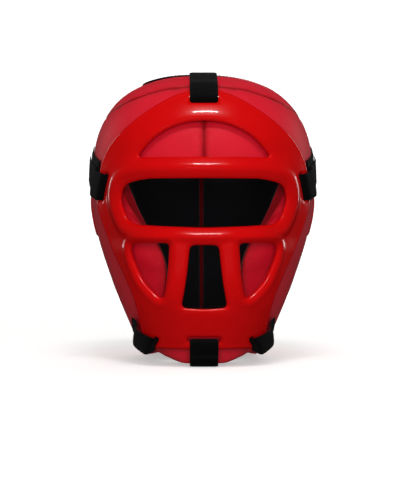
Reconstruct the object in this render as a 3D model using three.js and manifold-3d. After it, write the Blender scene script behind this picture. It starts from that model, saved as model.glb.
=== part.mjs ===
// Foam boxing headgear: a padded shell of eight sewn pads, with a moulded face mask held in
// front of it by straps that pass through slots in the mask and fold back onto the pads.
// Millimetres. The face looks along -Y, +X is to the right seen from the front, +Z is up.
// The origin is on the floor below the middle of the headgear.
import * as THREE from 'three';
import { mergeVertices } from 'three/addons/utils/BufferGeometryUtils.js';
import Module from 'manifold-3d';

const wasm = await Module();
wasm.setup();

// The outside of the padded shell.
const shellWidth = 213.5;
const crownHeight = 271.5;
const earHeight = 0.619 * crownHeight; // the level where the shell is widest
const frontReach = 118; // from the shell's middle line to the forehead
const backReach = 120;
const middleLine = 8.7; // how far the shell's middle line lies behind the origin
const planRoundness = 2.25; // exponent of the shell's outline seen from above
const crownRoundness = 2.6;

// Pads.
const padThickness = 20;
const edgeRounding = 4.5; // how much an outer face falls away at its sewn edge
const seamGap = 1.2; // between neighbouring pads
const backGap = 10; // between the two back pads, under the closure strap
const crownRearEdge = 0.21 * backReach; // where the crown pad ends, behind the middle line
const earHoleWidth = 26;
const earHoleHeight = 36;
const earHoleCentre = { behind: 0.03 * backReach, height: 0.508 * crownHeight };

// Face mask.
const maskThickness = 4.5;
const barThickness = 7; // where the mask stands furthest from the shell
const barStand = 25.5; // the same at the bars in front of the mouth
const slotWidth = 4.5;
const slotSlack = 1.5; // at each end of a slot, beside the strap

// Straps.
const strapWidth = 25;
const jawStrapWidth = 20;
const strapThickness = 1.4;
const layerGap = 0.35; // between a strap and what it lies on
const rimStand = maskThickness + strapThickness + 4 * layerGap; // to the mask's outer face
const chinPadClearance = strapThickness + layerGap; // from the floor, for the strap under it
const patchWidth = 38;
const patchLength = 62;
const closureWidth = 50;
const closureLength = 150;
const crownStrapLength = 112;

const red = 0xc4181f;
const black = 0x17181a;

// Level lines of the shell below the ears, from the floor up.
const levels = [
  { rise: 0.0, half: 0.543, front: 0.856, back: 0.833 },
  { rise: 0.09, half: 0.592, front: 0.907, back: 0.847 },
  { rise: 0.18, half: 0.646, front: 0.932, back: 0.86 },
  { rise: 0.36, half: 0.768, front: 0.949, back: 0.892 },
  { rise: 0.54, half: 0.871, front: 0.941, back: 0.928 },
  { rise: 0.71, half: 0.951, front: 0.941, back: 0.967 },
  { rise: 0.86, half: 0.996, front: 0.966, back: 0.986 },
  { rise: 1.0, half: 1.0, front: 1.0, back: 1.0 },
];

// Sewn edges. Turn is in degrees from the front, rise is a share of the crown's height.
const crownSeam = [
  { turn: 0, rise: 0.946 },
  { turn: 15, rise: 0.942 },
  { turn: 30, rise: 0.93 },
  { turn: 45, rise: 0.906 },
  { turn: 60, rise: 0.881 },
  { turn: 78, rise: 0.855 },
  { turn: 104, rise: 0.834 },
];
const browSeam = [
  { turn: 0, rise: 0.634 },
  { turn: 40, rise: 0.634 },
  { turn: 104, rise: 0.634 },
];
const cheekEdge = [
  { turn: 20, rise: 0.187 },
  { turn: 20.5, rise: 0.313 },
  { turn: 24, rise: 0.394 },
  { turn: 32, rise: 0.477 },
  { turn: 41, rise: 0.593 },
  { turn: 43.5, rise: 0.629 },
];
const jawSeam = [
  { turn: 20, rise: 0.187 },
  { turn: 31, rise: 0.16 },
  { turn: 44, rise: 0.106 },
  { turn: 52, rise: 0.065 },
];
const chinLowerEdge = [
  { turn: 0, rise: -0.004 },
  { turn: 12, rise: -0.002 },
  { turn: 22, rise: 0.018 },
  { turn: 32, rise: 0.034 },
  { turn: 52, rise: 0.034 },
];
const jawLowerEdge = [
  { turn: 60, rise: 0.051 },
  { turn: 80, rise: 0.053 },
  { turn: 104, rise: 0.063 },
];
const napeLowerEdge = [
  { turn: 104, rise: 0.063 },
  { turn: 118, rise: 0.02 },
  { turn: 130, rise: -0.012 },
  { turn: 180, rise: -0.012 },
];
const backUpperEdge = [
  { turn: 104, rise: 0.834 },
  { turn: 120, rise: 0.906 },
  { turn: 145, rise: 0.955 },
  { turn: 180, rise: 0.966 },
];

// The mask's outline: half its spread in degrees at each level.
const maskOutline = [
  { rise: 0.065, turn: 27 },
  { rise: 0.091, turn: 31.5 },
  { rise: 0.129, turn: 31 },
  { rise: 0.221, turn: 31 },
  { rise: 0.293, turn: 37 },
  { rise: 0.407, turn: 49 },
  { rise: 0.52, turn: 56 },
  { rise: 0.56, turn: 57 },
  { rise: 0.608, turn: 55 },
  { rise: 0.693, turn: 50.5 },
  { rise: 0.744, turn: 44.3 },
  { rise: 0.829, turn: 29.5 },
  { rise: 0.888, turn: 15.5 },
  { rise: 0.91, turn: 6 },
];
// How far the mask's middle stands out, from the rim's stand (0) to the bars' (1).
const maskStand = [
  { rise: 0, share: 0 },
  { rise: 0.065, share: 0.05 },
  { rise: 0.11, share: 0.22 },
  { rise: 0.166, share: 0.49 },
  { rise: 0.221, share: 0.78 },
  { rise: 0.294, share: 0.97 },
  { rise: 0.368, share: 1 },
  { rise: 0.449, share: 0.97 },
  { rise: 0.516, share: 0.6 },
  { rise: 0.571, share: 0.32 },
  { rise: 0.623, share: 0.22 },
  { rise: 0.663, share: 0.19 },
  { rise: 0.7, share: 0.05 },
  { rise: 0.809, share: 0 },
  { rise: 1, share: 0 },
];
// The mask's windows seen from the front: across is a share of half the shell's width, rise a
// share of its height, round the corner's radius. Central windows give their right half.
const foreheadWindow = [
  { across: 0, rise: 0.816, round: 10 },
  { across: 0.201, rise: 0.805, round: 14 },
  { across: 0.37, rise: 0.773, round: 14 },
  { across: 0.47, rise: 0.741, round: 10 },
  { across: 0.572, rise: 0.693, round: 4 },
];
const eyeWindow = [
  { across: 0.511, rise: 0.621, round: 14 },
  { across: 0.686, rise: 0.604, round: 10 },
  { across: 0.717, rise: 0.551, round: 12 },
  { across: 0.643, rise: 0.472, round: 10 },
  { across: 0.362, rise: 0.464, round: 12 },
  { across: 0, rise: 0.459, round: 12 },
];
const mouthWindow = [
  { across: 0.119, rise: 0.403, round: 4 },
  { across: 0.149, rise: 0.291, round: 12 },
  { across: 0.194, rise: 0.199, round: 4 },
  { across: 0, rise: 0.194, round: 8 },
];
const cheekWindow = [
  { across: 0.289, rise: 0.41, round: 4 },
  { across: 0.627, rise: 0.41, round: 5 },
  { across: 0.61, rise: 0.366, round: 9 },
  { across: 0.516, rise: 0.28, round: 12 },
  { across: 0.341, rise: 0.222, round: 5 },
  { across: 0.306, rise: 0.303, round: 9 },
];

// Straps that leave the mask at its side: the slot's middle, and the strap's run and the slot's
// line as directions on the shell (back and up).
const templeAnchor = {
  turn: 50, rise: 0.601, run: [0.963, 0.27], line: [0.42, -0.907], width: strapWidth,
};
const jawAnchor = {
  turn: 25.5, rise: 0.078, run: [0.94, 0.34], line: [0.65, -0.76], width: jawStrapWidth,
};
const templeTail = 72; // from the slot to the strap's end
const jawTail = 46;
const templePatchStart = 22;

// Where the straps in the middle plane and on the crown run.
const topSlotHeight = 0.868 * crownHeight;
const chinSlotHeight = 0.098 * crownHeight;
const closureRise = 0.35;
const chinStrapEnd = 0.62 * frontReach; // under the chin pad, ahead of the middle line
const crownStrapStart = { across: -0.51, back: -0.17 };
const crownStrapRun = [0.961, 0.277];

// Smooth reading of a table at one value of its key column.
function readTable(rows, key, value, at) {
  const last = rows.length - 1;
  const x = Math.min(Math.max(at, rows[0][key]), rows[last][key]);
  let i = 0;
  while (i < last - 1 && x > rows[i + 1][key]) i += 1;
  const slope = (k) => {
    const before = rows[Math.max(k - 1, 0)];
    const after = rows[Math.min(k + 1, last)];
    return (after[value] - before[value]) / (after[key] - before[key]);
  };
  const span = rows[i + 1][key] - rows[i][key];
  const t = (x - rows[i][key]) / span;
  const a = rows[i][value];
  const b = rows[i + 1][value];
  const startSlope = i === 0 ? (b - a) / span : slope(i);
  const endSlope = i + 1 === last ? 0 : slope(i + 1);
  const t2 = t * t;
  const t3 = t2 * t;
  const rest = (t3 - 2 * t2 + t) * span * startSlope + (t3 - t2) * span * endSlope;
  return (2 * t3 - 3 * t2 + 1) * a + rest + (3 * t2 - 2 * t3) * b;
}

const domeHeight = crownHeight - earHeight;

function domeShrink(height) {
  const share = Math.min(Math.max((height - earHeight) / domeHeight, 0), 1);
  return (1 - share ** crownRoundness) ** (1 / crownRoundness);
}

// Distance from the middle line to the shell, below the ears' level or straight above it.
function levelRadius(turn, height) {
  const rise = Math.min(height / earHeight, 1);
  const half = readTable(levels, 'rise', 'half', rise) * shellWidth / 2;
  const ahead = Math.cos(turn);
  const column = ahead > 0 ? 'front' : 'back';
  const reach = readTable(levels, 'rise', column, rise) * (ahead > 0 ? frontReach : backReach);
  const across = (Math.abs(Math.sin(turn)) / half) ** planRoundness;
  const along = (Math.abs(ahead) / reach) ** planRoundness;
  return (across + along) ** (-1 / planRoundness);
}

// A point on the shell's outside, by its turn from the front and its height.
function shellPoint(turnDegrees, height) {
  const turn = THREE.MathUtils.degToRad(turnDegrees);
  const r = levelRadius(turn, height) * domeShrink(height);
  return new THREE.Vector3(r * Math.sin(turn), middleLine - r * Math.cos(turn), height);
}

// The same by its place seen from above, for the top of the shell.
function crownPoint(x, y) {
  const turn = Math.atan2(x, middleLine - y);
  const shrink = Math.min(Math.hypot(x, y - middleLine) / levelRadius(turn, earHeight), 1);
  const height = earHeight + domeHeight * (1 - shrink ** crownRoundness) ** (1 / crownRoundness);
  return new THREE.Vector3(x, y, height);
}

function shellField(p) {
  const y = p.y - middleLine;
  const flat = Math.hypot(p.x, y) / levelRadius(Math.atan2(p.x, -y), p.z);
  return flat ** crownRoundness + (Math.max(p.z - earHeight, 0) / domeHeight) ** crownRoundness;
}

function outward(p) {
  const normal = new THREE.Vector3();
  for (const axis of ['x', 'y', 'z']) {
    const ahead = p.clone();
    const behind = p.clone();
    ahead[axis] += 0.5;
    behind[axis] -= 0.5;
    normal[axis] = shellField(ahead) - shellField(behind);
  }
  return normal.normalize();
}

function lifted(p, amount) {
  return p.clone().addScaledVector(outward(p), amount);
}

// Closed body between two grids of points that have the same rows and columns.
function bodyBetween(outer, inner) {
  const rows = outer.length;
  const columns = outer[0].length;
  const position = [outer, inner].flat(2).flatMap((p) => p.toArray());
  const at = (layer, i, j) => (layer * rows + i) * columns + j;
  const index = [];
  const quad = (a, b, c, d) => index.push(a, b, c, a, c, d);
  for (let i = 0; i < rows - 1; i += 1) {
    for (let j = 0; j < columns - 1; j += 1) {
      quad(at(0, i, j), at(0, i, j + 1), at(0, i + 1, j + 1), at(0, i + 1, j));
      quad(at(1, i, j), at(1, i + 1, j), at(1, i + 1, j + 1), at(1, i, j + 1));
    }
    const end = columns - 1;
    quad(at(0, i, 0), at(0, i + 1, 0), at(1, i + 1, 0), at(1, i, 0));
    quad(at(0, i, end), at(1, i, end), at(1, i + 1, end), at(0, i + 1, end));
  }
  for (let j = 0; j < columns - 1; j += 1) {
    const top = rows - 1;
    quad(at(0, 0, j), at(1, 0, j), at(1, 0, j + 1), at(0, 0, j + 1));
    quad(at(0, top, j), at(0, top, j + 1), at(1, top, j + 1), at(1, top, j));
  }
  const geometry = new THREE.BufferGeometry();
  geometry.setAttribute('position', new THREE.Float32BufferAttribute(position, 3));
  geometry.setIndex(index);
  return facingOut(geometry);
}

function facingOut(geometry) {
  const p = geometry.getAttribute('position');
  const index = geometry.getIndex().array;
  const [a, b, c] = [0, 1, 2].map(() => new THREE.Vector3());
  let volume = 0;
  for (let i = 0; i < index.length; i += 3) {
    a.fromBufferAttribute(p, index[i]);
    b.fromBufferAttribute(p, index[i + 1]);
    c.fromBufferAttribute(p, index[i + 2]);
    volume += a.dot(b.cross(c));
  }
  if (volume < 0) geometry.setIndex(Array.from(index).reverse());
  return geometry;
}

function mirrored(geometry) {
  const copy = geometry.clone();
  copy.scale(-1, 1, 1);
  return facingOut(copy);
}

function toManifold(geometry) {
  const plain = new THREE.BufferGeometry();
  plain.setAttribute('position', geometry.getAttribute('position').clone());
  plain.setIndex(geometry.getIndex());
  const welded = facingOut(mergeVertices(plain));
  return new wasm.Manifold(new wasm.Mesh({
    numProp: 3,
    vertProperties: new Float32Array(welded.getAttribute('position').array),
    triVerts: new Uint32Array(welded.getIndex().array),
  }));
}

function cutAway(geometry, cutters) {
  let body = toManifold(geometry);
  for (const cutter of cutters) body = body.subtract(toManifold(cutter));
  const mesh = body.getMesh();
  const result = new THREE.BufferGeometry();
  result.setAttribute('position', new THREE.Float32BufferAttribute(mesh.vertProperties, 3));
  result.setIndex(Array.from(mesh.triVerts));
  return result;
}

// One edge of a pad as a curve in turn and height, from one or more tables end to end.
function edgeCurve(...tables) {
  const path = new THREE.CurvePath();
  let last = [];
  for (const rows of tables) {
    const points = [...last, ...rows].map(({ turn, rise }) => (
      new THREE.Vector2(turn, rise * crownHeight)));
    path.add(new THREE.SplineCurve(points));
    last = [rows.at(-1)];
  }
  return path;
}

function leftOf(rows) {
  return rows.map(({ turn, rise }) => ({ turn: -turn, rise })).reverse();
}

// Shares along an edge: close together at both ends, where the outer face rounds off.
function stations(count, border) {
  const inner = Array.from({ length: count }, (_, i) => border + (1 - 2 * border) * i / (count - 1));
  return [0, ...inner, 1];
}

function lengthOf(path) {
  const steps = 12;
  let length = 0;
  for (let i = 0; i < steps; i += 1) length += path(i / steps).distanceTo(path((i + 1) / steps));
  return length;
}

function edgeDrop(share, border) {
  return Math.max(1 - Math.min(share, 1 - share) / border, 0);
}

// A pad between four edge curves: lower and upper from front to rear, front and rear upwards.
// Half of the seam's gap is left all round.
function padBody({ lower, upper, front, rear, columns, rows, onShell }) {
  const border = 0.055;
  const blend = (u, w) => {
    const p = lower.getPoint(u).multiplyScalar(1 - w).addScaledVector(upper.getPoint(u), w);
    p.addScaledVector(front.getPoint(w), 1 - u).addScaledVector(rear.getPoint(w), u);
    p.addScaledVector(lower.getPoint(0), -(1 - u) * (1 - w));
    p.addScaledVector(lower.getPoint(1), -u * (1 - w));
    p.addScaledVector(upper.getPoint(0), -(1 - u) * w);
    return p.addScaledVector(upper.getPoint(1), -u * w);
  };
  const onBlend = (u, w) => {
    const place = blend(u, w);
    return onShell(place.x, place.y);
  };
  const across = seamGap / 2 / lengthOf((share) => onBlend(share, 0.5));
  const up = seamGap / 2 / lengthOf((share) => onBlend(0.5, share));
  const outer = [];
  const inner = [];
  for (const w of stations(rows, border)) {
    const outerRow = [];
    const innerRow = [];
    for (const u of stations(columns, border)) {
      const base = onBlend(across + (1 - 2 * across) * u, up + (1 - 2 * up) * w);
      const drop = Math.max(edgeDrop(u, border), edgeDrop(w, border)) * edgeRounding;
      outerRow.push(lifted(base, -drop));
      innerRow.push(lifted(base, -padThickness));
    }
    outer.push(outerRow);
    inner.push(innerRow);
  }
  return bodyBetween(outer, inner);
}

// Prism with an outline seen from the front, running through the whole mask.
function frontPrism(outline, mirror) {
  const shape = new THREE.Shape();
  const corners = outline.map(({ across, rise, round }) => ({
    place: new THREE.Vector2(across * shellWidth / 2, rise * crownHeight),
    round,
  }));
  if (mirror) {
    const others = corners.filter(({ place }) => place.x > 0).reverse();
    for (const { place, round } of others) {
      corners.push({ place: new THREE.Vector2(-place.x, place.y), round });
    }
  }
  corners.forEach(({ place, round }, i) => {
    const before = corners.at(i - 1).place;
    const after = corners[(i + 1) % corners.length].place;
    const reach = Math.min(round, place.distanceTo(before) * 0.45, place.distanceTo(after) * 0.45);
    const start = before.clone().sub(place).setLength(reach).add(place);
    const end = after.clone().sub(place).setLength(reach).add(place);
    if (i === 0) shape.moveTo(start.x, start.y);
    else shape.lineTo(start.x, start.y);
    shape.quadraticCurveTo(place.x, place.y, end.x, end.y);
  });
  shape.closePath();
  const depth = frontReach + barStand + 40;
  const prism = new THREE.ExtrudeGeometry(shape, { depth, bevelEnabled: false, curveSegments: 4 });
  prism.rotateX(Math.PI / 2);
  prism.translate(0, -frontReach * 0.2, 0);
  return mergeVertices(bare(prism));
}

// Positions only, with an index.
function bare(geometry) {
  geometry.deleteAttribute('normal');
  geometry.deleteAttribute('uv');
  if (!geometry.getIndex()) {
    const count = geometry.getAttribute('position').count;
    geometry.setIndex(Array.from({ length: count }, (_, i) => i));
  }
  return geometry;
}

function maskStandAt(turnDegrees, height) {
  const share = readTable(maskStand, 'rise', 'share', height / crownHeight);
  const fade = 1 - THREE.MathUtils.smoothstep(Math.abs(turnDegrees), 8, 50);
  return rimStand + (barStand - rimStand) * share * fade;
}

function faceMask() {
  const rows = 28;
  const columns = 22;
  const bottom = maskOutline[0].rise;
  const top = maskOutline.at(-1).rise;
  const outer = [];
  const inner = [];
  for (let i = 0; i <= rows; i += 1) {
    const rise = bottom + (top - bottom) * i / rows;
    const spread = readTable(maskOutline, 'rise', 'turn', rise);
    const outerRow = [];
    const innerRow = [];
    for (let j = 0; j <= columns; j += 1) {
      const turn = spread * (2 * j / columns - 1);
      const stand = maskStandAt(turn, rise * crownHeight);
      const bulge = (stand - rimStand) / (barStand - rimStand);
      const wall = maskThickness + (barThickness - maskThickness) * bulge;
      const base = shellPoint(turn, rise * crownHeight);
      outerRow.push(lifted(base, stand));
      innerRow.push(lifted(base, stand - wall));
    }
    outer.push(outerRow);
    inner.push(innerRow);
  }
  const cutters = [foreheadWindow, eyeWindow, mouthWindow].map((rows) => frontPrism(rows, true));
  const cheek = frontPrism(cheekWindow, false);
  cutters.push(cheek, mirrored(cheek));
  for (const anchor of [templeAnchor, jawAnchor]) {
    const slot = slotCutter(anchor);
    cutters.push(slot, mirrored(slot));
  }
  const span = strapWidth / 2 + slotSlack;
  for (const height of [topSlotHeight, chinSlotHeight]) {
    const slot = new THREE.BoxGeometry(2 * span, 3 * rimStand, slotWidth);
    const place = lifted(shellPoint(0, height), rimStand);
    const facing = outward(shellPoint(0, height));
    slot.rotateX(-Math.atan2(facing.z, -facing.y));
    slot.translate(0, place.y, place.z);
    cutters.push(mergeVertices(bare(slot)));
  }
  return cutAway(bodyBetween(outer, inner), cutters);
}

// Turn and height of a place near an anchor, by distance along a strap and across it.
function spotAt({ turn, rise, run, line }, along, across) {
  const height = rise * crownHeight;
  const here = shellPoint(turn, height);
  const perDegree = here.distanceTo(shellPoint(turn + 1, height));
  const perHeight = here.distanceTo(shellPoint(turn, height + 1));
  const back = (along * run[0] + across * line[0]) / perDegree;
  const up = (along * run[1] + across * line[1]) / perHeight;
  return [turn + back, height + up];
}

function onSurface(anchor) {
  return (along, across, above) => lifted(shellPoint(...spotAt(anchor, along, across)), above);
}

// The middle and both edges of a strap.
function acrossStrap({ width }) {
  return [-width / 2, 0, width / 2];
}

// The mask's stand under the whole width of a strap.
function standUnder(anchor, along) {
  return Math.max(...acrossStrap(anchor).map((w) => maskStandAt(...spotAt(anchor, along, w))));
}

function isOnMask(turn, height) {
  const rise = height / crownHeight;
  return rise > maskOutline[0].rise && turn < readTable(maskOutline, 'rise', 'turn', rise);
}

// How far a strap runs from its slot before its whole width has left the mask.
function rimBeyondSlot(anchor) {
  let along = 1;
  while (acrossStrap(anchor).some((w) => isOnMask(...spotAt(anchor, along, w)))) along += 0.5;
  return along;
}

// The same on the crown, for the strap that follows a straight line seen from above.
function onCrown() {
  const startX = crownStrapStart.across * shellWidth / 2;
  const start = new THREE.Vector2(startX, middleLine + crownStrapStart.back * backReach);
  const run = new THREE.Vector2(...crownStrapRun);
  return (along, across, above) => {
    const x = start.x + run.x * along - run.y * across;
    const y = start.y + run.y * along + run.x * across;
    return lifted(crownPoint(x, y), above);
  };
}

function slotCutter(anchor) {
  const place = onSurface(anchor);
  const span = anchor.width / 2 + slotSlack;
  const layer = (above) => [-span, 0, span].map((across) => (
    [-slotWidth, 0].map((along) => place(along, across, above))));
  return bodyBetween(layer(standUnder(anchor, -slotWidth) + 6), layer(layerGap));
}

// Strap along a path of [along, above] points. Place turns these and the width into space.
function strapBody(path, width, thickness, place, lanes = 3) {
  const points = path.map(([along, above]) => new THREE.Vector2(along, above));
  const sides = points.map((p, i) => {
    const before = p.clone().sub(points[Math.max(i - 1, 0)]).normalize();
    const after = points[Math.min(i + 1, points.length - 1)].clone().sub(p).normalize();
    const along = before.clone().add(after).normalize();
    const reference = before.lengthSq() > 0 ? before : after;
    const stretch = 1 / Math.max(along.dot(reference), 0.5);
    return new THREE.Vector2(-along.y, along.x).multiplyScalar(thickness / 2 * stretch);
  });
  const layer = (sign) => points.map((p, i) => {
    const spot = p.clone().addScaledVector(sides[i], sign);
    return Array.from({ length: lanes + 1 }, (_, j) => (
      place(spot.x, width * (j / lanes - 0.5), spot.y)));
  });
  return bodyBetween(layer(1), layer(-1));
}

// Heights of a strap's middle: above the pads, above a strap on them, and above the mask.
const onPad = layerGap + strapThickness / 2;
const onLayer = onPad + strapThickness + layerGap;
const overMask = 4 * layerGap + strapThickness / 2;

// A strap that is sewn under the mask's rim, comes out through the slot and folds back.
function foldedStrap(anchor, tail) {
  const rim = rimBeyondSlot(anchor);
  const inSlot = -slotWidth / 2;
  const over = (along) => standUnder(anchor, along) + overMask;
  const path = [
    [rim + 4, onPad],
    [rim / 2, onPad],
    [inSlot + 1.2, onPad + 0.2],
    [inSlot, onPad + 1.4],
    [inSlot, over(inSlot) - 1.2],
    [inSlot + 1.2, over(inSlot)],
    [rim / 2, over(rim / 2)],
    [rim + 1, over(rim)],
    [rim + 5, over(rim) - 2],
    [rim + 9, onLayer + 0.6],
    [rim + 13, onLayer],
  ];
  const flat = 5;
  for (let i = 1; i <= flat; i += 1) {
    path.push([rim + 13 + (tail - rim - 13) * i / flat, onLayer]);
  }
  return strapBody(path, anchor.width, strapThickness, onSurface(anchor), 2);
}

function templePatch() {
  const steps = 6;
  const { turn, rise, run } = templeAnchor;
  const place = onSurface({ turn, rise, run, line: [run[1], -run[0]] });
  const path = Array.from({ length: steps + 1 }, (_, i) => (
    [templePatchStart + patchLength * i / steps, onPad]));
  return strapBody(path, patchWidth, strapThickness, place, 4);
}

// Straps in the middle plane, by [behind, height] points.
function middleStrap(path) {
  return strapBody(path, strapWidth, strapThickness, (behind, across, height) => (
    new THREE.Vector3(across, behind, height)), 1);
}

function frontPath(heights, above) {
  return heights.map((height) => {
    const p = lifted(shellPoint(0, height), above);
    return [p.y, p.z];
  });
}

// Over the dome from front to back, by degrees above the ears' level.
function domePath(from, to, steps, above) {
  return Array.from({ length: steps + 1 }, (_, i) => {
    const angle = THREE.MathUtils.degToRad(from + (to - from) * i / steps);
    const flat = Math.abs(Math.cos(angle)) ** (2 / crownRoundness);
    const reach = Math.cos(angle) > 0 ? -frontReach : backReach;
    const height = earHeight + domeHeight * Math.sin(angle) ** (2 / crownRoundness);
    const p = lifted(new THREE.Vector3(0, middleLine + reach * flat, height), above);
    return [p.y, p.z];
  });
}

function topStrap() {
  const overCrown = onLayer + 0.6; // it crosses the crown strap
  const start = frontPath([18, 9, 1.2].map((up) => topSlotHeight + up), onPad - layerGap / 4);
  const slot = [onPad + 0.8, rimStand].flatMap((above) => frontPath([topSlotHeight], above));
  const rim = frontPath([1.2, 8, 15].map((up) => topSlotHeight + up), rimStand + overMask);
  const crown = domePath(56, 118, 8, overCrown);
  const back = domePath(127, 152, 3, onPad + 0.6);
  return middleStrap([...start, ...slot, ...rim, ...crown, ...back]);
}

function chinStrap() {
  const low = strapThickness / 2;
  const front = (drop, above) => frontPath([chinSlotHeight - drop], above)[0];
  const onMask = (drop) => front(drop, maskStandAt(0, chinSlotHeight - drop) + overMask);
  const face = shellPoint(0, chinPadClearance).y - rimStand - overMask + 1;
  const end = middleLine - chinStrapEnd;
  return middleStrap([
    front(20, onPad),
    front(8, onPad),
    front(1.5, onPad + layerGap),
    front(0, rimStand),
    onMask(1.5),
    onMask(6),
    onMask(13),
    [face, 9],
    [face + 0.6, 3.6],
    [face + 3, low + 0.5],
    [face + 6, low],
    [(face + end) / 2, low],
    [end, low],
  ]);
}

function crownStrap() {
  const steps = 9;
  const path = Array.from({ length: steps + 1 }, (_, i) => [crownStrapLength * i / steps, onPad]);
  return strapBody(path, strapWidth, strapThickness, onCrown());
}

function closureStrap() {
  const steps = 16;
  const place = onSurface({ turn: 180, rise: closureRise, run: [1, 0], line: [0, 1] });
  const path = Array.from({ length: steps + 1 }, (_, i) => (
    [closureLength * (i / steps - 0.5), onPad + layerGap]));
  return strapBody(path, closureWidth, strapThickness, place);
}

function foreheadPad() {
  return padBody({
    lower: edgeCurve(browSeam),
    upper: edgeCurve(crownSeam),
    front: edgeCurve([browSeam[0], crownSeam[0]]),
    rear: edgeCurve([browSeam.at(-1), crownSeam.at(-1)]),
    columns: 13,
    rows: 6,
    onShell: shellPoint,
  });
}

function sidePad() {
  const rear = [jawLowerEdge.at(-1), browSeam.at(-1)];
  const browCorner = { turn: cheekEdge.at(-1).turn, rise: browSeam[0].rise };
  const front = [...cheekEdge.slice(0, -1), browCorner];
  const body = padBody({
    lower: edgeCurve(jawSeam, jawLowerEdge),
    upper: edgeCurve([browCorner, { turn: 72, rise: browCorner.rise }, browSeam.at(-1)]),
    front: edgeCurve(front),
    rear: edgeCurve(rear),
    columns: 11,
    rows: 9,
    onShell: shellPoint,
  });
  const hole = new THREE.CylinderGeometry(1, 1, shellWidth, 20);
  hole.rotateZ(Math.PI / 2);
  hole.scale(1, earHoleWidth / 2, earHoleHeight / 2);
  hole.translate(shellWidth / 2, middleLine + earHoleCentre.behind, earHoleCentre.height);
  return cutAway(body, [mergeVertices(bare(hole))]);
}

function chinPad() {
  const lift = chinPadClearance / crownHeight;
  const lower = chinLowerEdge.map(({ turn, rise }) => ({ turn, rise: rise + lift }));
  return padBody({
    lower: edgeCurve([...leftOf(lower.slice(1)), ...lower]),
    upper: edgeCurve(leftOf(jawSeam), [jawSeam[0]], jawSeam.slice(1)),
    front: edgeCurve(leftOf([jawSeam.at(-1), lower.at(-1)])),
    rear: edgeCurve([lower.at(-1), jawSeam.at(-1)]),
    columns: 15,
    rows: 4,
    onShell: shellPoint,
  });
}

function backPad() {
  const gapTurn = THREE.MathUtils.radToDeg(backGap / 2 / backReach);
  const upTo = (rows) => rows.map(({ turn, rise }) => ({ turn: Math.min(turn, 180 - gapTurn), rise }));
  const lower = upTo(napeLowerEdge);
  const upper = upTo(backUpperEdge);
  const body = padBody({
    lower: edgeCurve(lower),
    upper: edgeCurve(upper),
    front: edgeCurve([lower[0], { turn: 104, rise: browSeam[0].rise }, upper[0]]),
    rear: edgeCurve([lower.at(-1), { turn: 180 - gapTurn, rise: 0.5 }, upper.at(-1)]),
    columns: 9,
    rows: 12,
    onShell: shellPoint,
  });
  const floor = new THREE.BoxGeometry(3 * shellWidth, 6 * backReach, 40);
  floor.translate(0, 0, -20);
  return cutAway(body, [mergeVertices(bare(floor))]);
}

function crownPad() {
  const seam = edgeCurve(crownSeam);
  const endShare = 0.985;
  const cornerShare = 0.8;
  const rearEdge = middleLine + crownRearEdge;
  const seamPlan = (share, side) => {
    const { x: turn, y: height } = seam.getPoint(share);
    const p = shellPoint(turn, height);
    return new THREE.Vector2(side * p.x, p.y);
  };
  const samples = (from, to, side, count) => Array.from({ length: count + 1 }, (_, i) => (
    seamPlan(from + (to - from) * i / count, side)));
  const left = samples(cornerShare, 0, -1, 8);
  const right = samples(0, cornerShare, 1, 8).slice(1);
  const rightEnd = seamPlan(endShare, 1);
  const rearSide = (side) => {
    const points = samples(cornerShare, endShare, side, 2);
    points.push(new THREE.Vector2(side * rightEnd.x * 0.975, rearEdge));
    return points;
  };
  const rearRight = rearSide(1);
  const rearLeft = rearSide(-1);
  return padBody({
    lower: new THREE.SplineCurve([...left, ...right]),
    upper: new THREE.SplineCurve([rearLeft.at(-1), new THREE.Vector2(0, rearEdge), rearRight.at(-1)]),
    front: new THREE.SplineCurve(rearLeft),
    rear: new THREE.SplineCurve(rearRight),
    columns: 15,
    rows: 7,
    onShell: crownPoint,
  });
}

function named(name, geometry, colour, roughness) {
  const material = new THREE.MeshStandardMaterial({ color: colour, roughness });
  const mesh = new THREE.Mesh(geometry, material);
  mesh.name = name;
  return mesh;
}

const headgear = new THREE.Group();
headgear.name = 'boxing_headgear';
headgear.add(named('crown_pad', crownPad(), red, 0.5));
headgear.add(named('chin_pad', chinPad(), red, 0.5));
headgear.add(named('face_mask', faceMask(), red, 0.2));
headgear.add(named('top_strap', topStrap(), black, 0.9));
headgear.add(named('crown_strap', crownStrap(), black, 0.9));
headgear.add(named('chin_strap', chinStrap(), black, 0.9));
headgear.add(named('closure_strap', closureStrap(), black, 0.9));

const pairs = [
  ['forehead_pad', foreheadPad(), red, 0.5],
  ['side_pad', sidePad(), red, 0.5],
  ['back_pad', backPad(), red, 0.5],
  ['temple_patch', templePatch(), black, 0.9],
  ['temple_strap', foldedStrap(templeAnchor, templeTail), black, 0.9],
  ['jaw_strap', foldedStrap(jawAnchor, jawTail), black, 0.9],
];
for (const [name, geometry, colour, roughness] of pairs) {
  headgear.add(named(`${name}_right`, geometry, colour, roughness));
  headgear.add(named(`${name}_left`, mirrored(geometry), colour, roughness));
}

export default headgear;
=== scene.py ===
import math
import bmesh
import bpy
import numpy as np
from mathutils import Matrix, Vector, noise


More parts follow.
